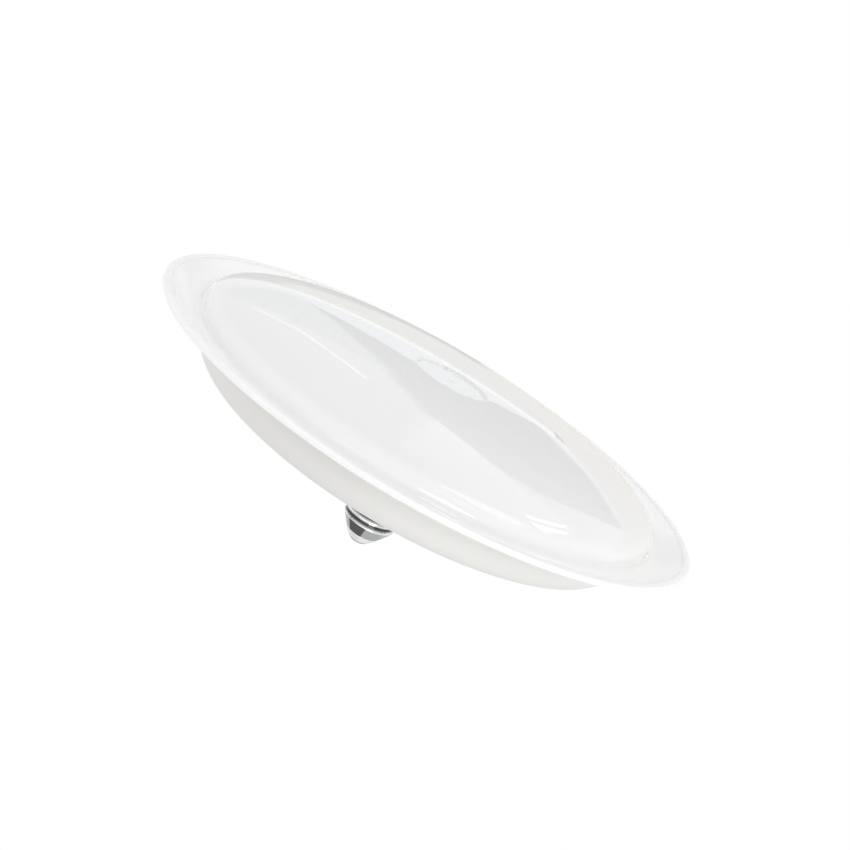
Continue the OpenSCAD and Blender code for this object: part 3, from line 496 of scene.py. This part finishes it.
def thread_tree():
    """The rolled shell's outer sheet: a flared skirt with punch marks, the thread and the cone."""
    tree = bpy.data.node_groups.new("rolled_thread", "GeometryNodeTree")
    length = "NodeSocketFloat"
    given, result = sockets(tree, [
        ("Sheet", "NodeSocketGeometry", None),
        ("Rim Height", length, COLLAR_Z), ("Thread Start", length, THREAD_FROM_Z),
        ("Thread End", length, THREAD_TO_Z), ("Shell End", length, SHELL_END_Z),
        ("Crest Radius", length, CAP_R), ("Skirt Radius", length, SKIRT_R),
        ("End Radius", length, SHELL_END_R), ("Depth", length, THREAD_DEPTH),
        ("Pitch", length, THREAD_PITCH), ("Run In", length, 1.2),
        ("Last Crest Angle", length, LAST_CREST_ANGLE), ("Rim Flare", length, 0.45),
        ("Rim Flare Height", length, 1.1),
        ("Punch Marks", length, 10.0), ("Punch Depth", length, 0.3),
        ("Sides", "NodeSocketInt", 216), ("Rows", "NodeSocketInt", 200),
        ("Finish", "NodeSocketMaterial", None),
    ], [("Sheet", "NodeSocketGeometry")])
    grid = put(tree, "GeometryNodeMeshGrid", {
        "Size X": 1.0, "Size Y": 1.0,
        "Vertices X": maths(tree, "ADD", given["Sides"], 1.0), "Vertices Y": given["Rows"],
    })
    position = put(tree, "GeometryNodeInputPosition").outputs[0]
    spot = put(tree, "ShaderNodeSeparateXYZ", {0: position}).outputs
    angle = maths(tree, "MULTIPLY", spot["X"], 2 * math.pi)
    rise = maths(tree, "SUBTRACT", given["Shell End"], given["Rim Height"])
    z = maths(tree, "MULTIPLY_ADD", maths(tree, "ADD", spot["Y"], 0.5), rise, given["Rim Height"])

    past_end = maths(tree, "SUBTRACT", z, given["Thread End"])
    turns = maths(tree, "DIVIDE", past_end, given["Pitch"])
    from_crest = maths(tree, "SUBTRACT", given["Last Crest Angle"], angle)
    wave = maths(tree, "COSINE", maths(tree, "MULTIPLY_ADD", turns, 2 * math.pi, from_crest))
    half = maths(tree, "MULTIPLY", given["Depth"], 0.5)
    below_crest = maths(tree, "SUBTRACT", wave, 1.0)
    rolled = maths(tree, "MULTIPLY_ADD", half, below_crest, given["Crest Radius"])
    above_rim = maths(tree, "SUBTRACT", z, given["Rim Height"])
    flared = remap(tree, above_rim, 0.0, given["Rim Flare Height"], 1.0, 0.0, True)
    flare = maths(tree, "MULTIPLY", flared, given["Rim Flare"])
    skirt = maths(tree, "ADD", given["Skirt Radius"], flare)
    past_start = maths(tree, "SUBTRACT", z, given["Thread Start"])
    share = remap(tree, past_start, 0.0, given["Run In"], 0.0, 1.0, True)
    past_skirt = maths(tree, "SUBTRACT", rolled, given["Skirt Radius"])
    wall = maths(tree, "MULTIPLY_ADD", share, past_skirt, skirt)
    cone = remap(
        tree, z, given["Thread End"], given["Shell End"],
        given["Crest Radius"], given["End Radius"])
    radius = maths(tree, "SMOOTH_MIN", wall, cone, CONE_BLEND)

    gap = maths(tree, "DIVIDE", math.pi, given["Punch Marks"])
    from_mark = maths(tree, "WRAP", angle, gap, maths(tree, "MULTIPLY", gap, -1.0))
    aside = maths(tree, "MULTIPLY", from_mark, PUNCH_ARC_R)
    up = maths(tree, "SUBTRACT", above_rim, PUNCH_AT_H)
    aside_squared = maths(tree, "MULTIPLY", aside, aside)
    up_squared = maths(tree, "MULTIPLY", up, up)
    apart = maths(tree, "ADD", aside_squared, up_squared)
    punch = maths(tree, "EXPONENT", maths(tree, "MULTIPLY", apart, -PUNCH_TIGHTNESS))
    radius = maths(tree, "SUBTRACT", radius, maths(tree, "MULTIPLY", punch, given["Punch Depth"]))

    place = put(tree, "ShaderNodeCombineXYZ", {
        "X": maths(tree, "MULTIPLY", radius, maths(tree, "COSINE", angle)),
        "Y": maths(tree, "MULTIPLY", radius, maths(tree, "SINE", angle)),
        "Z": z,
    })
    metres = put(tree, "ShaderNodeVectorMath", {
        0: place.outputs[0], "Scale": MM,
    }, operation="SCALE")
    moved = put(tree, "GeometryNodeSetPosition", {
        "Geometry": grid.outputs[0], "Position": metres.outputs[0],
    })
    closed = put(tree, "GeometryNodeMergeByDistance", {
        "Geometry": moved.outputs[0], "Distance": 1e-6,
    })
    real = put(tree, "GeometryNodeRealizeInstances", {0: closed.outputs[0]})
    dressed = put(tree, "GeometryNodeSetMaterial", {
        "Geometry": real.outputs[0], "Material": given["Finish"],
    })
    tree.links.new(dressed.outputs[0], result["Sheet"])
    return tree


def settle(piece):
    """Runs the piece's modifiers, keeps the result as its mesh and removes them."""
    graph = bpy.context.evaluated_depsgraph_get()
    mesh = bpy.data.meshes.new_from_object(piece.evaluated_get(graph), depsgraph=graph)
    piece.modifiers.clear()
    piece.data = mesh
    return piece


def grow(piece, tree, values):
    """Runs a geometry tree on a piece, its inputs given by name, and keeps the result."""
    step = piece.modifiers.new("rule", "NODES")
    step.node_group = tree
    names = {s.name: s.identifier for s in tree.interface.items_tree if s.in_out == "INPUT"}
    for name, value in values.items():
        step[names[name]] = value
    return settle(piece)


def combine(piece, tool, operation):
    """Cuts a tool from a piece or adds it, and removes the tool."""
    step = piece.modifiers.new("combine", "BOOLEAN")
    step.operation = operation
    step.object = tool
    step.solver = "EXACT"
    settle(piece)
    bpy.data.objects.remove(tool)


# Finishes

CLOUD_SCALE = 90.0
COAT_ROUGHNESS = 0.015
COAT_IOR = 1.5
# Painted light: a paler base colour from the dome's foot out over the brim, which makes up for the
# shade in the gutter
BRIM_PAINTED_LIGHT_COLOUR = (0.945, 0.953, 0.94, 1)
BRIM_COAT_LESS = 0.35
BRIM_COAT_DULLER = 0.1
# A bump's strength and its distance in metres
FINE_BUMP = (0.1, 0.0001)


def node_group(name, inputs):
    """A shader group that gives a colour, a roughness and a height for the bump."""
    tree = bpy.data.node_groups.new(name, "ShaderNodeTree")
    given, result = sockets(tree, inputs, [
        ("Colour", "NodeSocketColor"), ("Roughness", "NodeSocketFloat"),
        ("Height", "NodeSocketFloat"),
    ])
    return tree, given, result


def blended(tree, share, first, second):
    """One colour going over into another; each is a value or a node's socket."""
    return put(tree, "ShaderNodeMix", {0: share, 6: first, 7: second}, data_type="RGBA").outputs[2]


def noise(tree, place, scale, detail):
    """Noise between 0 and 1, in a space or along a line that a socket gives."""
    return put(tree, "ShaderNodeTexNoise", {
        "Vector": place, "Scale": scale, "Detail": detail,
    }).outputs[0]


def new_material(name, colour, **values):
    """A material with a Principled BSDF whose plain values are set on its own sockets."""
    material = bpy.data.materials.new(name)
    material.use_nodes = True
    material.diffuse_color = (*colour, 1)
    shader = material.node_tree.nodes["Principled BSDF"]
    shader.inputs["Base Color"].default_value = (*colour, 1)
    for key, value in values.items():
        shader.inputs[key.replace("_", " ")].default_value = value
    return material, material.node_tree, shader


def moulded_skin_group():
    """A moulded surface: slow drifts of tone, fine speckle, and a grain for the bump."""
    tree, given, result = node_group("moulded_skin", [
        ("Colour", "NodeSocketColor", (0.8, 0.8, 0.8, 1)),
        ("Drift Colour", "NodeSocketColor", (0.7, 0.7, 0.7, 1)),
        ("Drift Scale", "NodeSocketFloat", 20.0),
        ("Grain Scale", "NodeSocketFloat", 900.0),
        ("Roughness", "NodeSocketFloat", 0.4),
        ("Roughness Spread", "NodeSocketFloat", 0.05),
    ])
    spot = put(tree, "ShaderNodeTexCoord").outputs["Object"]
    drift = noise(tree, spot, given["Drift Scale"], 3.0)
    grain = noise(tree, spot, given["Grain Scale"], 2.0)
    much = remap(tree, drift, 0.35, 0.7, 0.0, 1.0, True)
    tone = blended(tree, much, given["Colour"], given["Drift Colour"])
    off_middle = maths(tree, "SUBTRACT", drift, 0.5)
    rough = maths(tree, "MULTIPLY_ADD", off_middle, given["Roughness Spread"], given["Roughness"])
    tree.links.new(tone, result["Colour"])
    tree.links.new(rough, result["Roughness"])
    tree.links.new(grain, result["Height"])
    return tree


def turned_metal_group():
    """A rolled or turned metal surface: fine lines round the axis, and faint clouding."""
    tree, given, result = node_group("turned_metal", [
        ("Colour", "NodeSocketColor", (0.8, 0.8, 0.8, 1)),
        ("Cloud Colour", "NodeSocketColor", (0.6, 0.6, 0.6, 1)),
        ("Line Scale", "NodeSocketFloat", 1500.0),
        ("Roughness", "NodeSocketFloat", 0.2),
        ("Roughness Spread", "NodeSocketFloat", 0.1),
    ])
    spot = put(tree, "ShaderNodeTexCoord").outputs["Object"]
    part = put(tree, "ShaderNodeSeparateXYZ", {0: spot}).outputs
    along = put(tree, "ShaderNodeCombineXYZ", {"X": radius_of(tree, part), "Y": part["Z"]})
    lines = noise(tree, along.outputs[0], given["Line Scale"], 2.0)
    cloud = noise(tree, spot, CLOUD_SCALE, 4.0)
    much = remap(tree, cloud, 0.45, 0.75, 0.0, 1.0, True)
    tone = blended(tree, much, given["Colour"], given["Cloud Colour"])
    off_line = maths(tree, "SUBTRACT", lines, 0.5)
    off_cloud = maths(tree, "SUBTRACT", cloud, 0.5)
    both = maths(tree, "ADD", off_line, off_cloud)
    rough = maths(tree, "MULTIPLY_ADD", both, given["Roughness Spread"], given["Roughness"])
    tree.links.new(tone, result["Colour"])
    tree.links.new(rough, result["Roughness"])
    tree.links.new(lines, result["Height"])
    return tree


MOULDED = moulded_skin_group()
TURNED = turned_metal_group()


def surfaced(name, group, colour, second, shader_values, group_values, bump):
    """A material whose colour, roughness and bump come from one of the shared groups."""
    material, tree, shader = new_material(name, colour, **shader_values)
    skin = put(tree, "ShaderNodeGroup", node_tree=group)
    skin.inputs["Colour"].default_value = (*colour, 1)
    skin.inputs[1].default_value = (*second, 1)
    for key, value in group_values.items():
        skin.inputs[key].default_value = value
    tree.links.new(skin.outputs["Colour"], shader.inputs["Base Color"])
    tree.links.new(skin.outputs["Roughness"], shader.inputs["Roughness"])
    strength, distance = bump
    relief = put(tree, "ShaderNodeBump", {
        "Height": skin.outputs["Height"], "Strength": strength, "Distance": distance,
    })
    tree.links.new(relief.outputs[0], shader.inputs["Normal"])
    return material, tree, shader, skin


def moulded(name, colour, second, roughness, scale, grain=900.0, bump=FINE_BUMP, **values):
    return surfaced(name, MOULDED, colour, second, values, {
        "Roughness": roughness, "Drift Scale": scale, "Grain Scale": grain,
    }, bump)[0]


def turned(name, colour, second, roughness):
    return surfaced(name, TURNED, colour, second, {"Metallic": 1.0}, {
        "Roughness": roughness, "Line Scale": 1500.0,
    }, FINE_BUMP)[0]


def away_from_axis(tree):
    """Distance from the axis, the angle round it and the height, in metres and radians."""
    spot = put(tree, "ShaderNodeTexCoord").outputs["Object"]
    part = put(tree, "ShaderNodeSeparateXYZ", {0: spot}).outputs
    return radius_of(tree, part), maths(tree, "ARCTAN2", part["Y"], part["X"]), part["Z"]


def translucent_opal():
    """Glossy opal that light goes into. Light from behind makes the open brim the paler part, and
    painted light adds to it: the base colour turns paler from the dome's foot out over the brim.
    """
    material, tree, shader, skin = surfaced(
        "opal_moulding", MOULDED, (0.857, 0.861, 0.859), (0.847, 0.852, 0.85), {
            "Subsurface_Weight": 1.0, "Subsurface_Radius": (1.0, 1.0, 1.0),
            "Subsurface_Scale": 0.0012, "Specular_IOR_Level": 0.0,
            "Coat_Weight": 1.0, "Coat_Roughness": COAT_ROUGHNESS, "Coat_IOR": COAT_IOR,
        }, {"Roughness": 0.5, "Drift Scale": 9.0, "Grain Scale": 30.0}, (0.002, 0.0001))
    away = away_from_axis(tree)[0]
    # Painted light: the base colour turns paler from the dome's foot outwards
    pale = remap(tree, away, (DOME_R - 7) * MM, (DOME_R + 2) * MM, 0.0, 1.0, True)
    brim = remap(tree, away, (DOME_R + 0.2) * MM, (DOME_R + 3) * MM, 0.0, 1.0, True)
    colour = blended(tree, pale, skin.outputs["Colour"], BRIM_PAINTED_LIGHT_COLOUR)
    weight = maths(tree, "MULTIPLY_ADD", brim, -BRIM_COAT_LESS, 1.0)
    dulled = maths(tree, "MULTIPLY_ADD", brim, BRIM_COAT_DULLER, COAT_ROUGHNESS)
    tree.links.new(colour, shader.inputs["Base Color"])
    tree.links.new(weight, shader.inputs["Coat Weight"])
    tree.links.new(dulled, shader.inputs["Coat Roughness"])
    return material


def rolled_nickel():
    """Bright plate, with painted shade in the thread's roots, streaked by fine marks of the rolling
    wheel.
    """
    material, tree, shader, skin = surfaced(
        "bright_nickel", TURNED, (0.80, 0.81, 0.82), (0.74, 0.75, 0.77), {"Metallic": 1.0},
        {"Roughness": 0.1, "Line Scale": 900.0}, (0.05, 0.0001))
    away, angle, height = away_from_axis(tree)
    # Painted shade: the roots of the thread, up to its end, are coloured nearly black
    root = remap(tree, away, (CAP_R - 0.95) * MM, (CAP_R - 0.3) * MM, 1.0, 0.0, True)
    threaded = remap(tree, height, THREAD_TO_Z * MM, (THREAD_TO_Z + 0.1) * MM, 1.0, 0.0)
    ripple = maths(tree, "SINE", maths(tree, "MULTIPLY", angle, 180.0))
    wheel = remap(tree, ripple, 0.2, 0.8, 0.0, 0.25, True)
    painted_root_shade = blended(tree, wheel, (0.03, 0.03, 0.03, 1), (0.6, 0.6, 0.6, 1))
    root_shade_mask = maths(tree, "MULTIPLY", root, threaded)
    colour = blended(tree, root_shade_mask, skin.outputs["Colour"], painted_root_shade)
    tree.links.new(colour, shader.inputs["Base Color"])
    return material


# Plain finishes by slot: a colour, the colour it drifts to, the roughness and the drift's scale
MOULDED_FINISHES = {
    "board_face": ((0.88, 0.88, 0.86), (0.84, 0.85, 0.83), 0.3, 60.0),
    "phosphor": ((0.88, 0.72, 0.2), (0.84, 0.66, 0.16), 0.35, 900.0),
    "terminal_plastic": ((0.85, 0.85, 0.82), (0.8, 0.8, 0.78), 0.4, 20.0),
    "sleeve_plastic": ((0.62, 0.64, 0.62), (0.58, 0.6, 0.58), 0.42, 20.0),
    "laminate": ((0.03, 0.13, 0.05), (0.02, 0.1, 0.04), 0.4, 20.0),
    "ferrite": ((0.03, 0.03, 0.032), (0.05, 0.05, 0.052), 0.7, 20.0),
    "winding_tape": ((0.72, 0.5, 0.05), (0.65, 0.42, 0.04), 0.35, 20.0),
    "capacitor_can": ((0.02, 0.02, 0.03), (0.03, 0.03, 0.04), 0.3, 20.0),
    "film_case": ((0.35, 0.03, 0.02), (0.3, 0.025, 0.02), 0.25, 20.0),
    "disc_coat": ((0.02, 0.09, 0.32), (0.015, 0.07, 0.26), 0.35, 20.0),
    "chip_epoxy": ((0.012, 0.012, 0.014), (0.02, 0.02, 0.022), 0.5, 20.0),
    "red_sleeve": ((0.5, 0.02, 0.015), (0.42, 0.016, 0.012), 0.4, 20.0),
    "dark_sleeve": ((0.012, 0.012, 0.012), (0.02, 0.02, 0.02), 0.4, 20.0),
}
TURNED_FINISHES = {
    "pressed_aluminium": ((0.76, 0.77, 0.78), (0.7, 0.71, 0.72), 0.38),
    "plated_screw": ((0.62, 0.63, 0.65), (0.52, 0.54, 0.58), 0.3),
    "tinned_contact": ((0.2, 0.2, 0.21), (0.15, 0.15, 0.16), 0.4),
}


def finishes():
    """One finish for each slot of the record."""
    made = {"opal_moulding": translucent_opal(), "bright_nickel": rolled_nickel()}
    made["housing_moulding"] = moulded(
        "housing_moulding", (0.83, 0.823, 0.803), (0.815, 0.808, 0.788), 0.5, 12.0, 1600.0,
        (0.25, 0.00012), Specular_IOR_Level=0.25)
    made["white_glaze"] = moulded(
        "white_glaze", (0.96, 0.96, 0.95), (0.94, 0.94, 0.93), 0.2, 120.0, 500.0,
        (0.02, 0.0001), Coat_Weight=1.0, Coat_Roughness=0.05)
    for slot, (colour, second, roughness, scale) in MOULDED_FINISHES.items():
        made[slot] = moulded(slot, colour, second, roughness, scale)
    for slot, (colour, second, roughness) in TURNED_FINISHES.items():
        made[slot] = turned(slot, colour, second, roughness)
    return made


FINISH = finishes()


def dress(node, finish):
    """Gives a CAD node its finish."""
    mesh = frame["nodes"][node].data
    mesh.materials.clear()
    mesh.materials.append(finish)


def stand_in(piece, node):
    """The piece takes a CAD node's place on the body, and the node is hidden."""
    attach(piece, "root")
    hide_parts(node)


def make_diffuser():
    piece = revolved("opal_diffuser", diffuser_section(), FINISH["opal_moulding"], DIFFUSER_SIDES)
    stand_in(piece, "diffuser")


def make_housing(ring):
    finish = FINISH["housing_moulding"]
    piece = revolved("bowl_housing", housing_section(), finish, HOUSING_SIDES)
    slots = grow(slot_cutter(), ring, {"Count": SLOT_COUNT, "First Angle": 0.0, "Finish": finish})
    webs = grow(gusset_web(), ring, {
        "Count": SLOT_COUNT // 2, "First Angle": math.pi / SLOT_COUNT, "Finish": finish,
    })
    posts = grow(dish_post(), ring, {"Count": POST_COUNT, "First Angle": 0.0, "Finish": finish})
    combine(piece, webs, "UNION")
    combine(piece, posts, "UNION")
    combine(piece, slots, "DIFFERENCE")
    piece.data.materials.clear()
    piece.data.materials.append(finish)
    shade(piece.data)
    stand_in(piece, "housing")


def make_shell():
    finish = FINISH["bright_nickel"]
    piece = placed(bpy.data.objects.new("rolled_shell", bpy.data.meshes.new("rolled_shell")))
    grow(piece, thread_tree(), {"Finish": finish})
    first = piece.data.polygons[0]
    outward = first.normal.dot(Vector((first.center.x, first.center.y, 0))) > 0
    if not outward:
        piece.data.flip_normals()
    wall = piece.modifiers.new("wall", "SOLIDIFY")
    wall.thickness = SHELL_T * MM
    wall.offset = -1
    settle(piece)
    shade(piece.data, SHELL_SMOOTH_ANGLE)
    stand_in(piece, "screw_shell")


def make_insulator():
    low = SHELL_END_Z - INSULATOR_PLUG_H
    plug = SHELL_END_R - SHELL_T - 0.1
    rim = SHELL_END_R - 0.1
    section = softened([
        (INSULATOR_BORE_R, low), (plug - 0.3, low), (plug, SHELL_END_Z - 1.1), (plug, SHELL_END_Z),
        (rim, SHELL_END_Z), (rim, SHELL_END_Z + 0.4), (CONTACT_R + 0.4, CONTACT_Z),
        (INSULATOR_BORE_R, CONTACT_Z),
    ], radius=0.3)
    finish = FINISH["white_glaze"]
    piece = revolved("glazed_insulator", held(section), finish, INSULATOR_SIDES)
    stand_in(piece, "shell_insulator")


def make_contact():
    section = softened([
        (0, CONTACT_Z - RIVET_L), (RIVET_R, CONTACT_Z - RIVET_L), (RIVET_R, CONTACT_Z),
        (CONTACT_R, CONTACT_Z), (CONTACT_R, CONTACT_Z + CONTACT_RIM_H),
        (CONTACT_R * 0.86, CONTACT_Z + CONTACT_BULGE_H), (CONTACT_R * 0.6, TIP_Z), (0, TIP_Z),
    ], radius=0.25)
    finish = FINISH["tinned_contact"]
    piece = revolved("soldered_contact", held(section), finish, CONTACT_SIDES)
    stand_in(piece, "centre_contact")


# The stage, with its lengths in metres

CAMERA_AWAY = 0.473
CAMERA_BELOW = math.radians(14.19)
CAMERA_PITCH = math.radians(-1.42)
CAMERA_ROLL = math.radians(30.65)
CAMERA_LENS = 43.8
SENSOR_WIDTH = 36
SEEN_FROM = 0.01
SEEN_TO = 200

WORLD_LIGHT = 0.91
FLOOR_Z = -0.6
FLOOR_SIZE = 60
FLOOR_GLOW = 1.04
FLOOR_GLOW_SHARE = 0.85

# Each lamp's name, place, aim, width, height and power in watts
LAMPS = [
    ("key", (-0.3, -1.0, -0.53), (0, 0, 0.02), 0.6, 0.25, 1.7),
    ("side", (-1.4, -0.5, 0.1), (0, 0, 0.02), 0.5, 0.5, 2.4),
    ("back", (0.5, 0.4, 0.3), (0.08, 0.06, 0), 0.4, 0.4, 0.6),
]


def add_camera():
    """The photograph's camera: under the brim's plane, rolled so that the dome faces up right."""
    aim = Vector((0, 0, FRONT_Z * MM))
    back = Vector((0, -math.cos(CAMERA_BELOW), -math.sin(CAMERA_BELOW)))
    up = Vector((0, math.sin(CAMERA_BELOW), -math.cos(CAMERA_BELOW)))
    right = up.cross(back)
    turn = Matrix((right, up, back)).transposed()
    turn = turn @ Matrix.Rotation(CAMERA_PITCH, 3, "X") @ Matrix.Rotation(CAMERA_ROLL, 3, "Z")
    lens = bpy.data.cameras.new("camera")
    lens.lens = CAMERA_LENS
    lens.sensor_width = SENSOR_WIDTH
    lens.clip_start = SEEN_FROM
    lens.clip_end = SEEN_TO
    camera = placed(bpy.data.objects.new("camera", lens))
    camera.matrix_world = Matrix.Translation(aim + back * CAMERA_AWAY) @ turn.to_4x4()
    bpy.context.scene.camera = camera


def seen_directly(tree):
    """1 for rays that show the surroundings as they are: from the camera, a mirror or glass."""
    rays = put(tree, "ShaderNodeLightPath").outputs
    direct = maths(tree, "MAXIMUM", rays["Is Camera Ray"], rays["Is Glossy Ray"])
    return maths(tree, "MAXIMUM", direct, rays["Is Transmission Ray"])


def mixed(tree, share, first, second):
    """One shader going over into another."""
    return put(tree, "ShaderNodeMixShader", {
        0: share, 1: first.outputs[0], 2: second.outputs[0],
    }).outputs[0]


def emptied(owner):
    """The node tree of a world or a material, with nothing in it."""
    owner.use_nodes = True
    owner.node_tree.nodes.clear()
    return owner.node_tree


def add_world():
    """Even light all round, which is plain white where it is seen directly."""
    world = bpy.data.worlds.new("studio")
    bpy.context.scene.world = world
    tree = emptied(world)
    light = put(tree, "ShaderNodeBackground", {"Color": (1, 1, 1, 1), "Strength": WORLD_LIGHT})
    white = put(tree, "ShaderNodeBackground", {"Color": (1, 1, 1, 1), "Strength": 1.0})
    both = mixed(tree, seen_directly(tree), light, white)
    put(tree, "ShaderNodeOutputWorld", {"Surface": both})


def add_floor():
    """A pale floor well under the hanging bulb, nearly white where it is seen directly."""
    bpy.ops.mesh.primitive_plane_add(size=FLOOR_SIZE, location=(0, 0, FLOOR_Z))
    floor = bpy.context.object
    floor.name = "floor"
    material = bpy.data.materials.new("floor")
    tree = emptied(material)
    paint = put(tree, "ShaderNodeBsdfDiffuse", {"Color": (0.9, 0.9, 0.9, 1)})
    glow = put(tree, "ShaderNodeEmission", {"Color": (1, 1, 1, 1), "Strength": FLOOR_GLOW})
    share = maths(tree, "MULTIPLY", seen_directly(tree), FLOOR_GLOW_SHARE)
    put(tree, "ShaderNodeOutputMaterial", {"Surface": mixed(tree, share, paint, glow)})
    floor.data.materials.append(material)


def add_softbox(name, place, aim, width, height, power):
    """A rectangular lamp that faces a point. Glossy surfaces show the cards instead of it."""
    lamp = bpy.data.lights.new(name, "AREA")
    lamp.shape = "RECTANGLE"
    lamp.size = width
    lamp.size_y = height
    lamp.energy = power
    made = placed(bpy.data.objects.new(name, lamp))
    made.location = place
    made.rotation_euler = (Vector(aim) - Vector(place)).to_track_quat("-Z", "Y").to_euler()
    made.visible_camera = False
    made.visible_glossy = False


# Cards round the bulb, which only its glossy surfaces see. Each has a name, a colour, the share
# of it over which its edge fades, and its corners. The far cards' corners are directions from the
# bulb: degrees round from +Y towards +X, and degrees above the horizon. Each one lies a step
# nearer than the one before it, and hides it.
FAR_AWAY = 1.6
FAR_STEP = 0.02
FAR_CARDS = [
    ("warm_wall", (0.87, 0.84, 0.79), 0.15, [
        (-62, -40), (-34, -25), (-22, -18), (-8, -9), (0, -6), (0, 24), (-62, 24),
    ]),
    ("far_wall", (0.64, 0.64, 0.61), 0.04, [
        (-10.5, -9), (22, -7), (30, -1), (34, 22), (-3, 22), (-5.6, 1), (-8, -4),
    ]),
    ("wall_edge", (0.42, 0.42, 0.41), 0.0, [
        (-11, -10), (-10, -10), (-7.6, -4), (-5, 1), (-3, 8), (-5, 8), (-6.4, 1), (-8.8, -4),
    ]),
    ("low_wall", (0.84, 0.83, 0.8), 0.16, [
        (-9, -9.8), (19, -8.2), (17, -4), (8, -0.5), (1, 0), (-5, -1), (-7.5, -5),
    ]),
    ("side_card", (0.84, 0.85, 0.86), 0.2, [
        (2, -20), (8, -16), (16, -10), (30, -13), (30, -18.5), (16, -19.5),
    ]),
    ("dark_card", (0.57, 0.57, 0.58), 0.14, [
        (-27, -20.4), (-16, -13.5), (-8, -9.8), (-5, -10.5), (0, -12), (5, -12), (13, -10.6),
        (17, -10), (9, -17), (4, -20.6), (-6, -20.9), (-16, -20.9),
    ]),
    ("sky_card", (0.95, 0.98, 1.02), 0.06, [
        (-9, -10.4), (-5, -12), (0, -14), (5, -13.8), (13, -12), (20, -8.9),
    ]),
    ("strip_lamp", (1.2, 1.2, 1.2), 0.0, [(-10, -10.4), (19, -8.9), (19, -8.4), (-10, -9.6)]),
    ("near_lamp", (7.0, 7.0, 7.0), 0.04, [
        (-171, -8), (-166, -16), (-158, -20), (-151, -17), (-145, -9), (-143, 0), (-146, 12),
        (-165, 12), (-170, 4),
    ]),
]

# A wall behind the camera, with its corners as (x, z)
NEAR_WALL_Y = -1.6
NEAR_WALL = ("near_wall", (1.9, 1.9, 1.9), 0.3, [
    (-1.5, -0.59), (1.5, -0.59), (1.5, 0.3), (-1.5, 0.3),
])

# Level cards, each with its height and its corners as (x, y). The dome mirrors those under the
# bulb, and the cone of the screw cap those over it.
LEVEL_CARDS = [
    ("bright_panel", (1.25, 1.25, 1.25), 0.12, -0.56, [
        (-0.52, 0.3), (-0.47, 0.57), (-0.32, 0.77), (-0.21, 0.92), (-0.1, 1.1), (0, 1.22),
        (0.05, 0.3), (-0.15, 0.1),
    ]),
    ("shade_panel", (0.6, 0.6, 0.61), 0.2, -0.57, [
        (-0.9, 1.5), (-0.3, 0.92), (-0.03, 1.0), (0.08, 1.3), (0.2, 1.6), (-0.6, 1.6),
    ]),
    ("streak_lamp", (1.6, 1.6, 1.6), 0.02, -0.55, [
        (0.16, 1.15), (0.37, 1.345), (0.56, 1.33), (0.57, 1.36), (0.37, 1.375), (0.15, 1.18),
    ]),
    ("wide_pane", (2.6, 2.6, 2.6), 0.12, -0.55, [
        (-0.09, -0.14), (-0.43, -0.15), (-0.42, 0.02), (-0.25, 0.1), (-0.12, 0),
    ]),
    ("thin_pane", (3.8, 3.8, 3.8), 0.05, -0.55, [
        (-0.28, 0.33), (-0.39, 0.55), (-0.41, 0.5), (-0.31, 0.28),
    ]),
    ("corner_pane", (3.8, 3.8, 3.8), 0.05, -0.55, [
        (-0.33, 0.22), (-0.44, 0.41), (-0.46, 0.37), (-0.44, 0.18), (-0.49, 0.07), (-0.4, 0.13),
    ]),
    ("overhead_card", (0.5, 0.51, 0.51), 0.1, 1.02, [
        (-1.2, -0.4), (0, -0.4), (0, 1.8), (-1.2, 1.8),
    ]),
    ("overhead_flag", (0.12, 0.12, 0.12), 0.0, 1, [
        (-0.06, -0.4), (0.9, -0.4), (0.9, 0.56), (-0.06, 0.56),
    ]),
    ("overhead_light", (0.56, 0.57, 0.57), 0.0, 1, [
        (-0.06, 0.56), (1.6, 0.56), (1.6, 1.8), (-0.06, 1.8),
    ]),
]


def toward(az, el, away):
    """The point at a distance from the bulb, in a direction given in degrees."""
    a, e = math.radians(az), math.radians(el)
    return Vector((math.sin(a) * math.cos(e), math.cos(a) * math.cos(e), math.sin(e))) * away


def add_card(name, colour, soft, points):
    """A flat glowing card that only glossy surfaces see, fading towards its edge."""
    count = len(points)
    middle = sum(points, Vector()) / count
    inner = [p.lerp(middle, soft) for p in points]
    faces = [list(range(count))]
    if soft:
        for k in range(count):
            n = (k + 1) % count
            faces.append([k, count + k, count + n, n])
    mesh = bpy.data.meshes.new(name)
    mesh.from_pydata(inner + points if soft else points, [], faces)
    cover = mesh.attributes.new("cover", "FLOAT", "POINT")
    for k in range(count):
        cover.data[k].value = 1.0
    material = bpy.data.materials.new(name)
    tree = emptied(material)
    share = put(tree, "ShaderNodeAttribute", attribute_name="cover").outputs["Fac"]
    share = remap(tree, share, 0.0, 1.0, 0.0, 1.0, True)
    clear = put(tree, "ShaderNodeBsdfTransparent")
    glow = put(tree, "ShaderNodeEmission", {"Color": (*colour, 1), "Strength": 1.0})
    put(tree, "ShaderNodeOutputMaterial", {"Surface": mixed(tree, share, clear, glow)})
    mesh.materials.append(material)
    card = placed(bpy.data.objects.new(name, mesh))
    card.visible_camera = False
    card.visible_diffuse = False
    card.visible_shadow = False
    card.visible_transmission = False


def add_cards():
    for step, (name, colour, soft, spots) in enumerate(FAR_CARDS):
        away = FAR_AWAY - FAR_STEP * step
        add_card(name, colour, soft, [toward(az, el, away) for az, el in spots])
    name, colour, soft, spots = NEAR_WALL
    add_card(name, colour, soft, [Vector((x, NEAR_WALL_Y, z)) for x, z in spots])
    for name, colour, soft, z, spots in LEVEL_CARDS:
        add_card(name, colour, soft, [Vector((x, y, z)) for x, y in spots])


bpy.context.scene.view_settings.view_transform = "Standard"
add_camera()
add_world()
add_floor()
add_cards()
for lamp_row in LAMPS:
    add_softbox(*lamp_row)

for row in frame["record"]["subparts"]:
    dress(row["node"], FINISH[row["material_slot"]])

make_diffuser()
make_housing(ring_tree())
make_shell()
make_insulator()
make_contact()
